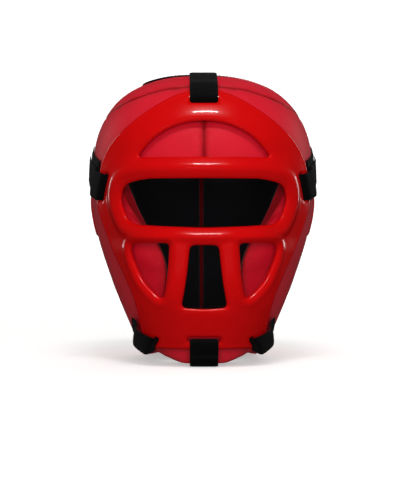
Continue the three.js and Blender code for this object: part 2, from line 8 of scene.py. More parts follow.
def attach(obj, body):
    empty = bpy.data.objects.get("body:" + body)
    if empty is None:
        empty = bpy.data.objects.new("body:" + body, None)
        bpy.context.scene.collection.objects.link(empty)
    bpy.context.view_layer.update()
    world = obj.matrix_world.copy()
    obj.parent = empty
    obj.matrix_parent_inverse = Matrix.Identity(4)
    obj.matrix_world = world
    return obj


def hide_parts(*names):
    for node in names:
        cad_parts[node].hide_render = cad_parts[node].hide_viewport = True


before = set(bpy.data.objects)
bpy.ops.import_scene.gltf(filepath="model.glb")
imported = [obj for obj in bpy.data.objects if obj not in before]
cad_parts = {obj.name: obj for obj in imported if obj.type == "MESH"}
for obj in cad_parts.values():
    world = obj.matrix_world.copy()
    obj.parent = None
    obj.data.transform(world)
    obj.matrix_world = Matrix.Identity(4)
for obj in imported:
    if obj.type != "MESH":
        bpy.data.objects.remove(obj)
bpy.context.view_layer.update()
scene = bpy.context.scene
print("frame loaded,", len(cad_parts), "nodes")

# The padded shell's own sizes in millimetres: everything else is placed on its surface.
shell = {
    "width": 213.5,
    "crown": 271.5,
    "ears": 0.619 * 271.5,  # level where it is widest
    "front": 118.0,
    "back": 120.0,
    "middle": 8.7,
    "planPower": 2.25,
    "domePower": 2.6,
}
# rise, half width, front reach, back reach
levels = [
    (0.0, 0.543, 0.856, 0.833),
    (0.09, 0.592, 0.907, 0.847),
    (0.18, 0.646, 0.932, 0.86),
    (0.36, 0.768, 0.949, 0.892),
    (0.54, 0.871, 0.941, 0.928),
    (0.71, 0.951, 0.941, 0.967),
    (0.86, 0.996, 0.966, 0.986),
    (1.0, 1.0, 1.0, 1.0),
]
mm = 0.001


def readTable(table, column, at):
    # a smooth curve through the rows of a table
    rows = np.array(table, float)
    keys, values = rows[:, 0], rows[:, column]
    x = np.clip(at, keys[0], keys[-1])
    i = np.clip(np.searchsorted(keys, x, side="right") - 1, 0, len(keys) - 2)
    slopes = np.zeros(len(keys))
    slopes[1:-1] = (values[2:] - values[:-2]) / (keys[2:] - keys[:-2])
    slopes[0] = (values[1] - values[0]) / (keys[1] - keys[0])
    span = keys[i + 1] - keys[i]
    t = (x - keys[i]) / span
    rest = (t ** 3 - 2 * t ** 2 + t) * span * slopes[i] + (t ** 3 - t ** 2) * span * slopes[i + 1]
    return (2 * t ** 3 - 3 * t ** 2 + 1) * values[i] + rest + (3 * t ** 2 - 2 * t ** 3) * values[i + 1]


def levelRadius(turn, height):
    rise = np.minimum(height / shell["ears"], 1)
    half = readTable(levels, 1, rise) * shell["width"] / 2
    ahead = np.cos(turn)
    front = readTable(levels, 2, rise) * shell["front"]
    back = readTable(levels, 3, rise) * shell["back"]
    reach = np.where(ahead > 0, front, back)
    across = (np.abs(np.sin(turn)) / half) ** shell["planPower"]
    along = (np.abs(ahead) / reach) ** shell["planPower"]
    return (across + along) ** (-1 / shell["planPower"])


def domeShrink(height):
    share = np.clip((height - shell["ears"]) / (shell["crown"] - shell["ears"]), 0, 1)
    return (1 - share ** shell["domePower"]) ** (1 / shell["domePower"])


def shellPoint(turnDegrees, height):
    # turn 0 is the front, 90 the right ear hole, 180 the back
    turn, height = np.broadcast_arrays(np.radians(turnDegrees), np.asarray(height, float))
    r = levelRadius(turn, height) * domeShrink(height)
    return np.stack([r * np.sin(turn), shell["middle"] - r * np.cos(turn), height], -1)


def crownPoint(x, y):
    turn = np.arctan2(x, shell["middle"] - y)
    flat = np.hypot(x, y - shell["middle"]) / levelRadius(turn, shell["ears"] + 0 * turn)
    power = shell["domePower"]
    dome = (1 - np.minimum(flat, 1) ** power) ** (1 / power)
    return np.stack([x, y, shell["ears"] + (shell["crown"] - shell["ears"]) * dome], -1)


def shellField(p):
    # 1 on the shell's surface, more outside it
    x, y, z = p[..., 0], p[..., 1] - shell["middle"], p[..., 2]
    flat = np.hypot(x, y) / levelRadius(np.arctan2(x, -y), z)
    dome = np.maximum(z - shell["ears"], 0) / (shell["crown"] - shell["ears"])
    return flat ** shell["domePower"] + dome ** shell["domePower"]


def unit(v):
    return v / np.linalg.norm(v, axis=-1, keepdims=True)


def outward(p):
    steps = np.eye(3) * 0.5
    return unit(np.stack([shellField(p + s) - shellField(p - s) for s in steps], -1))


def lifted(p, amount):
    return p + outward(p) * np.asarray(amount)[..., None]


def smoothStep(x, low, high):
    t = np.clip((x - low) / (high - low), 0, 1)
    return t * t * (3 - 2 * t)


# Curves and outlines

def spline(points, perSpan=12):
    p = np.array(points, float)
    q = np.vstack([p[:1], p, p[-1:]])
    t = np.linspace(0, 1, perSpan, endpoint=False)[:, None]
    parts = []
    for a, b, c, d in zip(q, q[1:], q[2:], q[3:]):
        v0, v1 = (c - a) / 2, (d - b) / 2
        cubic = (2 * b - 2 * c + v0 + v1) * t ** 3
        parts.append(cubic + (3 * c - 3 * b - 2 * v0 - v1) * t ** 2 + v0 * t + b)
    return np.vstack(parts + [p[-1:]])


def stepsAlong(line):
    return np.linalg.norm(np.diff(line, axis=0), axis=1)


def runAlong(line):
    return np.concatenate([[0], np.cumsum(stepsAlong(line))])


def atShare(line, share):
    run = runAlong(line)
    at = np.asarray(share) * run[-1]
    return np.stack([np.interp(at, run, line[:, k]) for k in range(line.shape[1])], -1)


def edgeCurve(*tables):
    parts, last = [], []
    for rows in tables:
        parts.append(spline([(turn, rise * shell["crown"]) for turn, rise in last + list(rows)]))
        last = [rows[-1]]
    return np.vstack(parts)


def leftOf(rows):
    return [(-turn, rise) for turn, rise in reversed(rows)]


def resampled(line, step):
    length = stepsAlong(line).sum()
    return atShare(line, np.linspace(0, 1, max(int(round(length / step)), 1) + 1))


# Materials

def toLinear(code):
    parts = [int(code[i:i + 2], 16) / 255 for i in (1, 3, 5)]
    return tuple(v / 12.92 if v < 0.04045 else ((v + 0.055) / 1.055) ** 2.4 for v in parts) + (1.0,)


def addNode(tree, kind, settings=None, links=None):
    node = tree.nodes.new(kind)
    for key, value in (settings or {}).items():
        if isinstance(key, str) and hasattr(node, key):
            setattr(node, key, value)
        else:
            node.inputs[key].default_value = value
    for key, socket in (links or {}).items():
        tree.links.new(socket, node.inputs[key])
    return node


def newMaterial(name, settings):
    material = bpy.data.materials.new(name)
    material.use_nodes = True
    tree = material.node_tree
    shader = tree.nodes["Principled BSDF"]
    for key, value in settings.items():
        shader.inputs[key].default_value = value
    return material, tree, shader


# sockets of a Mix node that blends two colours
mixFactor, mixFirst, mixSecond, mixResult = 0, 6, 7, 2
waveRepeat = math.tau / 20  # how far a Wave texture of scale 1 goes before it repeats

leather = {
    "deep": "#d01024",
    "bright": "#e21a30",
    # painted shade: the darker red painted into the seam grooves and onto the walls between pads
    "seam": "#a20b16",
    "patch": 35.7,  # millimetres, as are all sizes of a pattern
    "crease": 8.33,
    "pebble": 1.176,
}


def leathercloth():
    # PU-coated leathercloth, calendered and embossed: satin red, with a pebble of about 1 mm that only
    # shows as a soft break-up of the light, and a darker red painted at its seams as painted shade in the
    # seam grooves.
    material, tree, shader = newMaterial("pu_leathercloth_embossed", {
        "Roughness": 0.5, "IOR": 1.5, "Specular IOR Level": 0.34,
        "Sheen Weight": 0.02, "Sheen Roughness": 0.4,
    })
    where = addNode(tree, "ShaderNodeTexCoord").outputs["Object"]
    seam = addNode(tree, "ShaderNodeAttribute", {"attribute_name": "paintedSeamShade"}).outputs["Fac"]
    patches = addNode(tree, "ShaderNodeTexNoise", {
        "Scale": 1 / (leather["patch"] * mm), "Detail": 4.0,
    }, {"Vector": where}).outputs["Fac"]
    base = addNode(tree, "ShaderNodeMix", {
        "data_type": "RGBA", mixFirst: toLinear(leather["deep"]), mixSecond: toLinear(leather["bright"]),
    }, {mixFactor: patches}).outputs[mixResult]
    # painted shade: the seam red is mixed in by the paintedSeamShade attribute, darkest in the seams
    colour = addNode(tree, "ShaderNodeMix", {
        "data_type": "RGBA", mixSecond: toLinear(leather["seam"]),
    }, {mixFactor: seam, mixFirst: base}).outputs[mixResult]
    tree.links.new(colour, shader.inputs["Base Color"])
    worn = addNode(tree, "ShaderNodeMapRange", {"To Min": 0.42, "To Max": 0.58}, {"Value": patches})
    tree.links.new(worn.outputs[0], shader.inputs["Roughness"])
    pebble = addNode(tree, "ShaderNodeTexVoronoi", {
        "Scale": 1 / (leather["pebble"] * mm),
    }, {"Vector": where})
    creases = addNode(tree, "ShaderNodeTexNoise", {
        "Scale": 1 / (leather["crease"] * mm), "Detail": 5.0,
    }, {"Vector": where})
    grain = addNode(tree, "ShaderNodeBump", {"Strength": 0.22, "Distance": 0.2 * mm},
                    {"Height": pebble.outputs["Distance"]})
    soft = addNode(tree, "ShaderNodeBump", {"Strength": 0.25, "Distance": 0.6 * mm},
                   {"Height": creases.outputs["Fac"], "Normal": grain.outputs[0]})
    tree.links.new(soft.outputs[0], shader.inputs["Normal"])
    return material


plastic = {"deep": "#cb0305", "bright": "#d80608", "wave": 22.2, "scuff": 2.5}


def mouldedPlastic():
    # Injection-moulded ABS with a thin clear lacquer: hard small highlights on a deep red body, and the
    # faint waviness that a large moulding has.
    material, tree, shader = newMaterial("abs_moulded_lacquered", {
        "Roughness": 0.22, "IOR": 1.52, "Specular IOR Level": 0.25,
        "Coat Weight": 0.7, "Coat Roughness": 0.05, "Coat IOR": 1.5,
    })
    where = addNode(tree, "ShaderNodeTexCoord").outputs["Object"]
    wave = addNode(tree, "ShaderNodeTexNoise", {
        "Scale": 1 / (plastic["wave"] * mm), "Detail": 2.0,
    }, {"Vector": where}).outputs["Fac"]
    colour = addNode(tree, "ShaderNodeMix", {
        "data_type": "RGBA", mixFirst: toLinear(plastic["deep"]), mixSecond: toLinear(plastic["bright"]),
    }, {mixFactor: wave}).outputs[mixResult]
    tree.links.new(colour, shader.inputs["Base Color"])
    scuffs = addNode(tree, "ShaderNodeTexNoise", {
        "Scale": 1 / (plastic["scuff"] * mm), "Detail": 3.0,
    }, {"Vector": where}).outputs["Fac"]
    rough = addNode(tree, "ShaderNodeMapRange", {"To Min": 0.18, "To Max": 0.3}, {"Value": scuffs})
    tree.links.new(rough.outputs[0], shader.inputs["Roughness"])
    uneven = addNode(tree, "ShaderNodeBump", {"Strength": 0.12, "Distance": 1.2 * mm}, {"Height": wave})
    tree.links.new(uneven.outputs[0], shader.inputs["Normal"])
    tree.links.new(uneven.outputs[0], shader.inputs["Coat Normal"])
    return material


hookTape = {"dark": "#050506", "light": "#141415", "thread": 0.377, "lint": 2.86}
loopTape = {"dark": "#070808", "light": "#18191a", "thread": 0.2513, "lint": 2.86}


def wovenTape(name, tape):
    # Woven nylon tape: near black, matte, with ribs across it and a faint sheen along its threads.
    material, tree, shader = newMaterial(name, {
        "Roughness": 0.86, "IOR": 1.53, "Specular IOR Level": 0.2,
        "Sheen Weight": 0.03, "Sheen Roughness": 0.5,
    })
    # millimetres across and along the tape
    where = addNode(tree, "ShaderNodeAttribute", {"attribute_name": "tapePlace"}).outputs["Vector"]
    ribs = []
    for direction, spacing in (("X", 1.1), ("Y", 1.6)):
        ribs.append(addNode(tree, "ShaderNodeTexWave", {
            "bands_direction": direction, "Scale": waveRepeat / (tape["thread"] * spacing),
            "Distortion": 0.4, "Detail": 1.0,
        }, {"Vector": where}).outputs["Fac"])
    weave = addNode(tree, "ShaderNodeMath", {"operation": "MULTIPLY"}, {0: ribs[0], 1: ribs[1]})
    lint = addNode(tree, "ShaderNodeTexNoise", {"Scale": 1 / tape["lint"], "Detail": 6.0}, {"Vector": where})
    worn = addNode(tree, "ShaderNodeMath", {"operation": "MULTIPLY"},
                   {0: weave.outputs[0], 1: lint.outputs["Fac"]})
    colour = addNode(tree, "ShaderNodeMix", {
        "data_type": "RGBA", mixFirst: toLinear(tape["dark"]), mixSecond: toLinear(tape["light"]),
    }, {mixFactor: worn.outputs[0]}).outputs[mixResult]
    tree.links.new(colour, shader.inputs["Base Color"])
    relief = addNode(tree, "ShaderNodeBump", {"Strength": 0.5, "Distance": 0.4 * mm},
                     {"Height": weave.outputs[0]})
    tree.links.new(relief.outputs[0], shader.inputs["Normal"])
    return material


lining = {"dark": "#0f0f11", "light": "#222226", "nap": 1.111}


def brushedLining():
    # Brushed polyester tricot, knitted and napped: black that goes soft grey where it turns from the light.
    # Its nap is drawn about three times as coarse as the real one, so that it shows.
    material, tree, shader = newMaterial("polyester_tricot_brushed", {
        "Roughness": 0.9, "IOR": 1.5, "Specular IOR Level": 0.2,
        "Sheen Weight": 0.08, "Sheen Roughness": 0.6,
    })
    where = addNode(tree, "ShaderNodeTexCoord").outputs["Object"]
    nap = addNode(tree, "ShaderNodeTexNoise", {
        "Scale": 1 / (lining["nap"] * mm), "Detail": 4.0,
    }, {"Vector": where}).outputs["Fac"]
    colour = addNode(tree, "ShaderNodeMix", {
        "data_type": "RGBA", mixFirst: toLinear(lining["dark"]), mixSecond: toLinear(lining["light"]),
    }, {mixFactor: nap}).outputs[mixResult]
    tree.links.new(colour, shader.inputs["Base Color"])
    relief = addNode(tree, "ShaderNodeBump", {"Strength": 0.4, "Distance": 0.3 * mm}, {"Height": nap})
    tree.links.new(relief.outputs[0], shader.inputs["Normal"])
    return material


thread = {"red": "#a00c18", "black": "#121214", "twist": 0.4488}


def sewingThread(colourName):
    # Bonded polyester thread, twisted: a slight shine on each stitch.
    material, tree, shader = newMaterial("polyester_thread_" + colourName, {
        "Roughness": 0.45, "IOR": 1.55, "Sheen Weight": 0.1,
    })
    where = addNode(tree, "ShaderNodeTexCoord").outputs["Object"]
    twist = addNode(tree, "ShaderNodeTexWave", {
        "Scale": waveRepeat / (thread["twist"] * mm), "Distortion": 1.0,
    }, {"Vector": where}).outputs["Fac"]
    dark = toLinear(thread[colourName])
    pale = tuple(min(v * 1.6 + 0.01, 1) for v in dark[:3]) + (1.0,)
    colour = addNode(tree, "ShaderNodeMix", {
        "data_type": "RGBA", mixFirst: dark, mixSecond: pale,
    }, {mixFactor: twist}).outputs[mixResult]
    tree.links.new(colour, shader.inputs["Base Color"])
    return material


finishes = {
    "leather": leathercloth(),
    "plastic": mouldedPlastic(),
    "tape": wovenTape("nylon_hook_tape_woven", hookTape),
    "loop": wovenTape("nylon_loop_tape_brushed", loopTape),
    "lining": brushedLining(),
    "redThread": sewingThread("red"),
    "blackThread": sewingThread("black"),
}
print("materials made")


# Meshes

def addObject(name, data):
    obj = bpy.data.objects.new(name, data)
    scene.collection.objects.link(obj)
    return obj


def faceOutward(mesh, weld=0.0):
    solid = bmesh.new()
    solid.from_mesh(mesh)
    if weld:
        bmesh.ops.remove_doubles(solid, verts=solid.verts, dist=weld)
    bmesh.ops.recalc_face_normals(solid, faces=solid.faces)
    solid.to_mesh(mesh)
    solid.free()


def shadeSmooth(mesh):
    mesh.polygons.foreach_set("use_smooth", np.ones(len(mesh.polygons), bool))
    mesh.update()


def getPoints(mesh):
    points = np.empty(len(mesh.vertices) * 3, np.float32)
    mesh.vertices.foreach_get("co", points)
    return points.reshape(-1, 3).astype(float) / mm


def setPoints(mesh, points):
    mesh.vertices.foreach_set("co", (points * mm).astype(np.float32).ravel())
    mesh.update()


def ringFaces(rings, size, first=0, closed=False):
    # faces between neighbouring rings of points
    faces = []
    for i in range(rings if closed else rings - 1):
        here, there = first + i * size, first + (i + 1) % rings * size
        for k in range(size):
            n = (k + 1) % size
            faces.append((here + k, here + n, there + n, there + k))
    return faces


def newObject(name, points, faces, materials, faceSlots=None, attributes=None):
    mesh = bpy.data.meshes.new(name)
    mesh.from_pydata((np.asarray(points) * mm).tolist(), [], [list(map(int, f)) for f in faces])
    for material in materials:
        mesh.materials.append(material)
    if faceSlots is not None:
        mesh.polygons.foreach_set("material_index", np.asarray(faceSlots, np.int32))
    for key, values in (attributes or {}).items():
        values = np.asarray(values, np.float32)
        kind = "FLOAT" if values.ndim == 1 else "FLOAT_VECTOR"
        field = "value" if values.ndim == 1 else "vector"
        mesh.attributes.new(key, kind, "POINT").data.foreach_set(field, values.ravel())
    faceOutward(mesh)
    shadeSmooth(mesh)
    return addObject(name, mesh)


def applyModifiers(obj):
    graph = bpy.context.evaluated_depsgraph_get()
    graph.update()
    mesh = bpy.data.meshes.new_from_object(obj.evaluated_get(graph))
    old = obj.data
    obj.modifiers.clear()
    obj.data = mesh
    bpy.data.meshes.remove(old)


def mirroredCopy(obj, name):
    copy = obj.copy()
    copy.data = obj.data.copy()
    copy.name = copy.data.name = name
    copy.data.flip_normals()
    setPoints(copy.data, getPoints(copy.data) * (-1, 1, 1))
    scene.collection.objects.link(copy)
    return copy


def cutWith(obj, name, tool):
    cut = obj.modifiers.new(name, "BOOLEAN")
    cut.operation = "DIFFERENCE"
    cut.solver = "EXACT"
    cut.object = tool


def place(obj, nodes):
    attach(obj, "root")
    if nodes:
        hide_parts(*nodes)
    return obj


# Straps: each runs along a path of (along, above) millimetres and is laid by a function of its own.

strap = {
    "width": 25.0,
    "jawWidth": 20.0,
    "thickness": 1.4,
    "edgeThin": 0.55,  # the bound edge, as a share of the thickness
    "edgeBulge": 0.25,
    "lanes": 9,  # points across a strap
    "step": 2.2,  # and along it
    "gap": 0.35,
    "pressed": 0.45,  # how far the straps sink into the foam
    "slot": 4.5,
    "slotSlack": 1.5,
    "closureWidth": 50.0,
    "closureLength": 150.0,
    "patchWidth": 38.0,
    "patchLength": 62.0,
    "patchStart": 22.0,
    "crownLength": 112.0,
    "templeTail": 72.0,
    "jawTail": 46.0,
    "topSlot": 0.868 * shell["crown"],
    "chinSlot": 0.098 * shell["crown"],
    "closureRise": 0.35,
    "chinEnd": 0.62 * shell["front"],
    "crownStart": (-0.51, -0.17),
    "crownRun": (0.961, 0.277),
}
# where a side strap leaves the mask, which way it runs and which way its slot lies; a rise is a height
# as a share of the shell's
templeAnchor = {
    "turn": 50,
    "rise": 0.601,
    "run": (0.963, 0.27),
    "line": (0.42, -0.907),
    "width": strap["width"],
}
jawAnchor = {
    "turn": 25.5,
    "rise": 0.078,
    "run": (0.94, 0.34),
    "line": (0.65, -0.76),
    "width": strap["jawWidth"],
}
closureAnchor = {
    "turn": 180,
    "rise": strap["closureRise"],
    "run": (1, 0),
    "line": (0, 1),
}

mask = {
    "wall": 4.5,
    "barWall": 7.0,
    "flatHalf": 3.0,  # half the thickness of the plate before it is shaped
    "barStand": 25.5,
    "rimStand": 4.5 + strap["thickness"] + 4 * strap["gap"],  # its wall, with a strap beneath it
    "voxel": 1.15,
    "edgeRound": 2.0,
    "arch": 1.7,  # how much each bar and band rises between its edges
    "archReach": 9.0,
    "browRidge": 2.0,  # the raised band round the eye window
    "browRidgeReach": 9.0,
    "cheekLip": 1.0,
    "cheekLipReach": 4.5,
    "rimLip": 0.7,
    "rimLipReach": 2.6,
}
# rise, half spread in degrees
maskOutline = [
    (0.065, 27), (0.091, 31.5), (0.129, 31), (0.221, 31), (0.293, 37), (0.407, 49), (0.52, 56),
    (0.56, 57), (0.608, 55), (0.693, 50.5), (0.744, 44.3), (0.829, 29.5), (0.888, 15.5), (0.91, 6),
]
# rise, share of the bars' stand
maskStand = [
    (0, 0), (0.065, 0.05), (0.11, 0.22), (0.166, 0.49), (0.221, 0.78), (0.294, 0.97), (0.368, 1),
    (0.449, 0.97), (0.516, 0.6), (0.571, 0.32), (0.623, 0.22), (0.663, 0.19), (0.7, 0.05), (0.809, 0),
    (1, 0),
]
# across (share of half the width), rise, corner radius
windows = {
    "forehead": [(0, 0.816, 10), (0.201, 0.805, 14), (0.37, 0.773, 14), (0.47, 0.741, 10),
                 (0.572, 0.693, 4)],
    "eye": [(0.511, 0.621, 14), (0.686, 0.604, 10), (0.717, 0.551, 12), (0.643, 0.472, 10),
            (0.362, 0.464, 12), (0, 0.459, 12)],
    "mouth": [(0.119, 0.403, 4), (0.149, 0.291, 12), (0.194, 0.199, 4), (0, 0.194, 8)],
    "cheek": [(0.289, 0.41, 4), (0.627, 0.41, 5), (0.61, 0.366, 9), (0.516, 0.28, 12), (0.341, 0.222, 5),
              (0.306, 0.303, 9)],
}


def maskStandAt(turn, height):
    # height of the mask's outer face above the shell: close at the sides, further out round the bars
    share = readTable(maskStand, 1, np.asarray(height) / shell["crown"])
    fade = 1 - smoothStep(np.abs(turn), 8, 50)
    return mask["rimStand"] + (mask["barStand"] - mask["rimStand"]) * share * fade


def spotAt(anchor, along, across):
    height = anchor["rise"] * shell["crown"]
    here = shellPoint(anchor["turn"], height)
    perDegree = np.linalg.norm(here - shellPoint(anchor["turn"] + 1, height))
    perHeight = np.linalg.norm(here - shellPoint(anchor["turn"], height + 1))
    back = (along * anchor["run"][0] + across * anchor["line"][0]) / perDegree
    up = (along * anchor["run"][1] + across * anchor["line"][1]) / perHeight
    return anchor["turn"] + back, height + up


def spotsAcross(anchor, along):
    return [spotAt(anchor, along, share * anchor["width"]) for share in (-0.5, 0, 0.5)]


def standUnder(anchor, along):
    return max(float(maskStandAt(*spot)) for spot in spotsAcross(anchor, along))


def isOnMask(turn, height):
    rise = height / shell["crown"]
    return rise > maskOutline[0][0] and turn < readTable(maskOutline, 1, rise)


def rimBeyondSlot(anchor):
    along = 1.0
    while any(isOnMask(*spot) for spot in spotsAcross(anchor, along)):
        along += 0.5
    return along


def onAnchor(anchor):
    return lambda along, across, above: lifted(shellPoint(*spotAt(anchor, along, across)), above)


def onCrown(along, across, above):
    startX = strap["crownStart"][0] * shell["width"] / 2
    startY = shell["middle"] + strap["crownStart"][1] * shell["back"]
    runX, runY = strap["crownRun"]
    x = startX + runX * along - runY * across
    y = startY + runY * along + runX * across
    return lifted(crownPoint(x, y), above)


# how high a strap's middle runs above the shell, or above the mask's outer face
onPad = strap["gap"] - strap["pressed"] + strap["thickness"] / 2
onLayer = onPad + strap["thickness"] + strap["gap"]
overMask = 4 * strap["gap"] + strap["thickness"] / 2


def foldedPath(anchor, tail):
    # from under the mask's rim through the slot, back over the rim and down onto its own other end
    rim = rimBeyondSlot(anchor)
    inSlot = -strap["slot"] / 2
    over = lambda along: standUnder(anchor, along) + overMask
    path = [
        (rim + 4, onPad), (rim / 2, onPad), (inSlot + 1.2, onPad + 0.2), (inSlot, onPad + 1.4),
        (inSlot, over(inSlot) - 1.2), (inSlot + 1.2, over(inSlot)), (rim / 2, over(rim / 2)),
        (rim + 1, over(rim)), (rim + 7, over(rim) - 1.7), (rim + 14, onLayer + 1.6),
    ]
    down = rim + 20
    return path + [(down + (tail - down) * i / 5, onLayer) for i in range(6)]


def frontPath(heights, above):
    spots = lifted(shellPoint(0, np.array(heights, float)), np.full(len(heights), float(above)))
    return [(p[1], p[2]) for p in spots]


def domePath(start, end, steps, above):
    # over the top of the shell, by the angle from the front level up and over to the back
    angle = np.radians(np.linspace(start, end, steps + 1))
    power = 2 / shell["domePower"]
    reach = np.where(np.cos(angle) > 0, -shell["front"], shell["back"]) * np.abs(np.cos(angle)) ** power
    height = shell["ears"] + (shell["crown"] - shell["ears"]) * np.sin(angle) ** power
    line = np.stack([0 * angle, shell["middle"] + reach, height], -1)
    return [(p[1], p[2]) for p in lifted(line, np.full(len(angle), float(above)))]


def topPath():
    top = strap["topSlot"]
    start = frontPath([top + 18, top + 9, top + 1.2], onPad - strap["gap"] / 4)
    slot = frontPath([top], onPad + 0.8) + frontPath([top], mask["rimStand"])
    rim = frontPath([top + 1.2, top + 8, top + 15], mask["rimStand"] + overMask)
    return start + slot + rim + domePath(56, 118, 8, onLayer + 0.1) + domePath(127, 152, 3, onPad + 0.2)


def chinPath():
    low = strap["thickness"] / 2
    chin = strap["chinSlot"]
    front = lambda drop, above: frontPath([chin - drop], above)[0]
    onMask = lambda drop: front(drop, float(maskStandAt(0, chin - drop)) + overMask)
    face = shellPoint(0, strap["thickness"] + strap["gap"])[1] - mask["rimStand"] - overMask + 1
    end = shell["middle"] - strap["chinEnd"]
    return [
        front(20, onPad), front(8, onPad), front(1.5, onPad + strap["gap"]), front(0, mask["rimStand"]),
        onMask(1.5), onMask(6), onMask(13), (face, 9), (face + 0.6, 3.6), (face + 3, low + 0.5),
        (face + 6, low), ((face + end) / 2, low), (end, low),
    ]


def rounded(path, turns=2):
    # corners cut twice, which leaves soft bends
    p = np.array(path, float)
    for _ in range(turns):
        near = p[:-1] * 0.75 + p[1:] * 0.25
        far = p[:-1] * 0.25 + p[1:] * 0.75
        middle = np.empty((2 * len(near), p.shape[1]))
        middle[0::2] = near
        middle[1::2] = far
        p = np.vstack([p[:1], middle, p[-1:]])
    return p


def tapeRings(path, width, lay):
    p = resampled(rounded(path), strap["step"])
    run = runAlong(p)
    ahead = unit(np.gradient(p, axis=0))
    side = np.stack([-ahead[:, 1], ahead[:, 0]], 1)
    shares = np.linspace(-1, 1, strap["lanes"])
    half, edge = 0.5 * strap["thickness"], width / 2 + strap["edgeBulge"]
    # over the top from one edge to the other, round the edge, and back underneath
    section = [(s * width / 2, half * (strap["edgeThin"] if abs(s) == 1 else 1)) for s in shares]
    section += [(edge, 0)] + [(across, -above) for across, above in section[::-1]] + [(-edge, 0)]
    rings, places = [], []
    for i in range(len(p)):
        ring = []
        for across, above in section:
            spot = p[i] + side[i] * above
            ring.append(np.asarray(lay(spot[0], across, spot[1]), float).reshape(3))
            places.append((across, run[i], above))
        rings.append(ring)
    return np.array(rings), np.array(places)


def tapeObject(name, path, width, lay, finish):
    rings, places = tapeRings(path, width, lay)
    count, size = rings.shape[:2]
    faces = ringFaces(count, size)
    lanes = strap["lanes"]
    for row in (0, (count - 1) * size):  # the cut ends
        for j in range(lanes - 1):
            faces.append((row + j, row + j + 1, row + 2 * lanes - j - 1, row + 2 * lanes - j))
        faces.append((row + lanes - 1, row + lanes, row + lanes + 1))
        faces.append((row + 2 * lanes, row + 2 * lanes + 1, row))
    tape = newObject(name, rings.reshape(-1, 3), faces, [finishes[finish]], attributes={"tapePlace": places})
    return tape, rings


# along the stitch, thickness, drop: shares of its length and radius
stitchShape = [(-0.5, 0.35, 1), (-0.3, 0.85, 0.45), (0, 1, 0), (0.3, 0.85, 0.45), (0.5, 0.35, 1)]
padStitch = {"length": 3.0, "gap": 1.3, "radius": 0.36, "sink": 0.12}
strapStitch = {"length": 2.6, "gap": 1.1, "radius": 0.28, "sink": 0.02}


def stitches(name, lines, finish, stitch):
    # lines: points and normals along each row of sewing
    points, faces = [], []
    sides, radius = 6, stitch["radius"]
    pitch = stitch["length"] + stitch["gap"]
    along = np.array([share for share, size, drop in stitchShape])
    for line, normals in lines:
        run = runAlong(line)
        for i in range(int(run[-1] // pitch)):
            shares = (i + 0.5) * pitch + along * stitch["length"]
            middle = np.stack([np.interp(shares, run, line[:, k]) for k in range(3)], 1)
            up = unit(np.stack([np.interp(shares, run, normals[:, k]) for k in range(3)], 1))
            ahead = middle[-1] - middle[0]
            ahead /= np.linalg.norm(ahead)
            side = np.cross(ahead, up)
            first = len(points)
            for j, (share, size, drop) in enumerate(stitchShape):
                centre = middle[j] + up[j] * (radius * 0.35 - stitch["sink"] - drop * radius)
                for k in range(sides):
                    a = math.tau * k / sides
                    spoke = side[j] * math.cos(a) + up[j] * math.sin(a) * 0.8
                    points.append(centre + spoke * radius * size)
            faces += ringFaces(len(stitchShape), sides, first)
            faces.append(tuple(range(first, first + sides)))
            faces.append(tuple(range(len(points) - sides, len(points))))
    return newObject(name, points, faces, [finishes[finish]])


print("straps planned")


# Pads. Each lies between four seams: its outer face is sewn down along them and swells between.

pad = {
    "thickness": 20.0,
    "seamGap": 1.2,
    "grid": 4.6,  # mesh spacing before the cover is inflated
    "edgeRound": 4.2,
    "edgeDrop": 2.0,
    "innerRound": 2.5,
    "liningRise": 0.6,
    "slack": 0.1,  # how far below the shell's surface a face starts
    "strapDent": 0.15,
    "rearGap": 1.6,  # left between the back pads, whose walls swell towards each other
    "welt": 0.85,  # radius of the cord sewn into each seam
    "piping": 1.1,  # the same along the opening at the back
    "swell": 4.0,  # the furthest that the cover may move
    "pressure": 4.0,
    "frames": 20,
    "pucker": 0.5,
    "puckerReach": 9.0,
    "dips": 0.5,  # depth of the broad soft dips in each cover
    "dipsReach": 12.0,
    "seamShade": 4.0,  # how far the darker colour at a seam reaches
    "sewnIn": 4.5,  # from a seam to its row of stitches
    "offFloor": 0.25,
    "openingLow": 4.0,  # where the piping starts
}
# seams and edges: turn, rise
crownSeam = [(0, 0.946), (15, 0.942), (30, 0.93), (45, 0.906), (60, 0.881), (78, 0.855), (104, 0.834)]
browSeam = [(0, 0.634), (40, 0.634), (104, 0.634)]
# the cover swells a little further into the cheek windows than its foam
cheekEdge = [(20, 0.187), (17.8, 0.313), (21.3, 0.394), (31, 0.477), (41, 0.593), (43.5, 0.629)]
jawSeam = [(20, 0.187), (31, 0.16), (44, 0.106), (52, 0.065)]
chinLower = [(0, -0.004), (12, -0.002), (22, 0.018), (32, 0.034), (52, 0.034)]
jawLower = [(60, 0.051), (80, 0.053), (104, 0.063)]
napeLower = [(104, 0.063), (118, 0.02), (130, -0.012), (180, -0.012)]
backUpper = [(104, 0.834), (120, 0.906), (145, 0.955), (180, 0.966)]


def stations(length, step, border):
    # mesh lines across a pad, closer together near its edges
    inner = np.linspace(border, length - border, max(int((length - 2 * border) / step), 2) + 1)
    edge = np.array([0, 0.12, 0.35, 0.65]) * border
    return np.concatenate([edge, inner, length - edge[::-1]]) / length


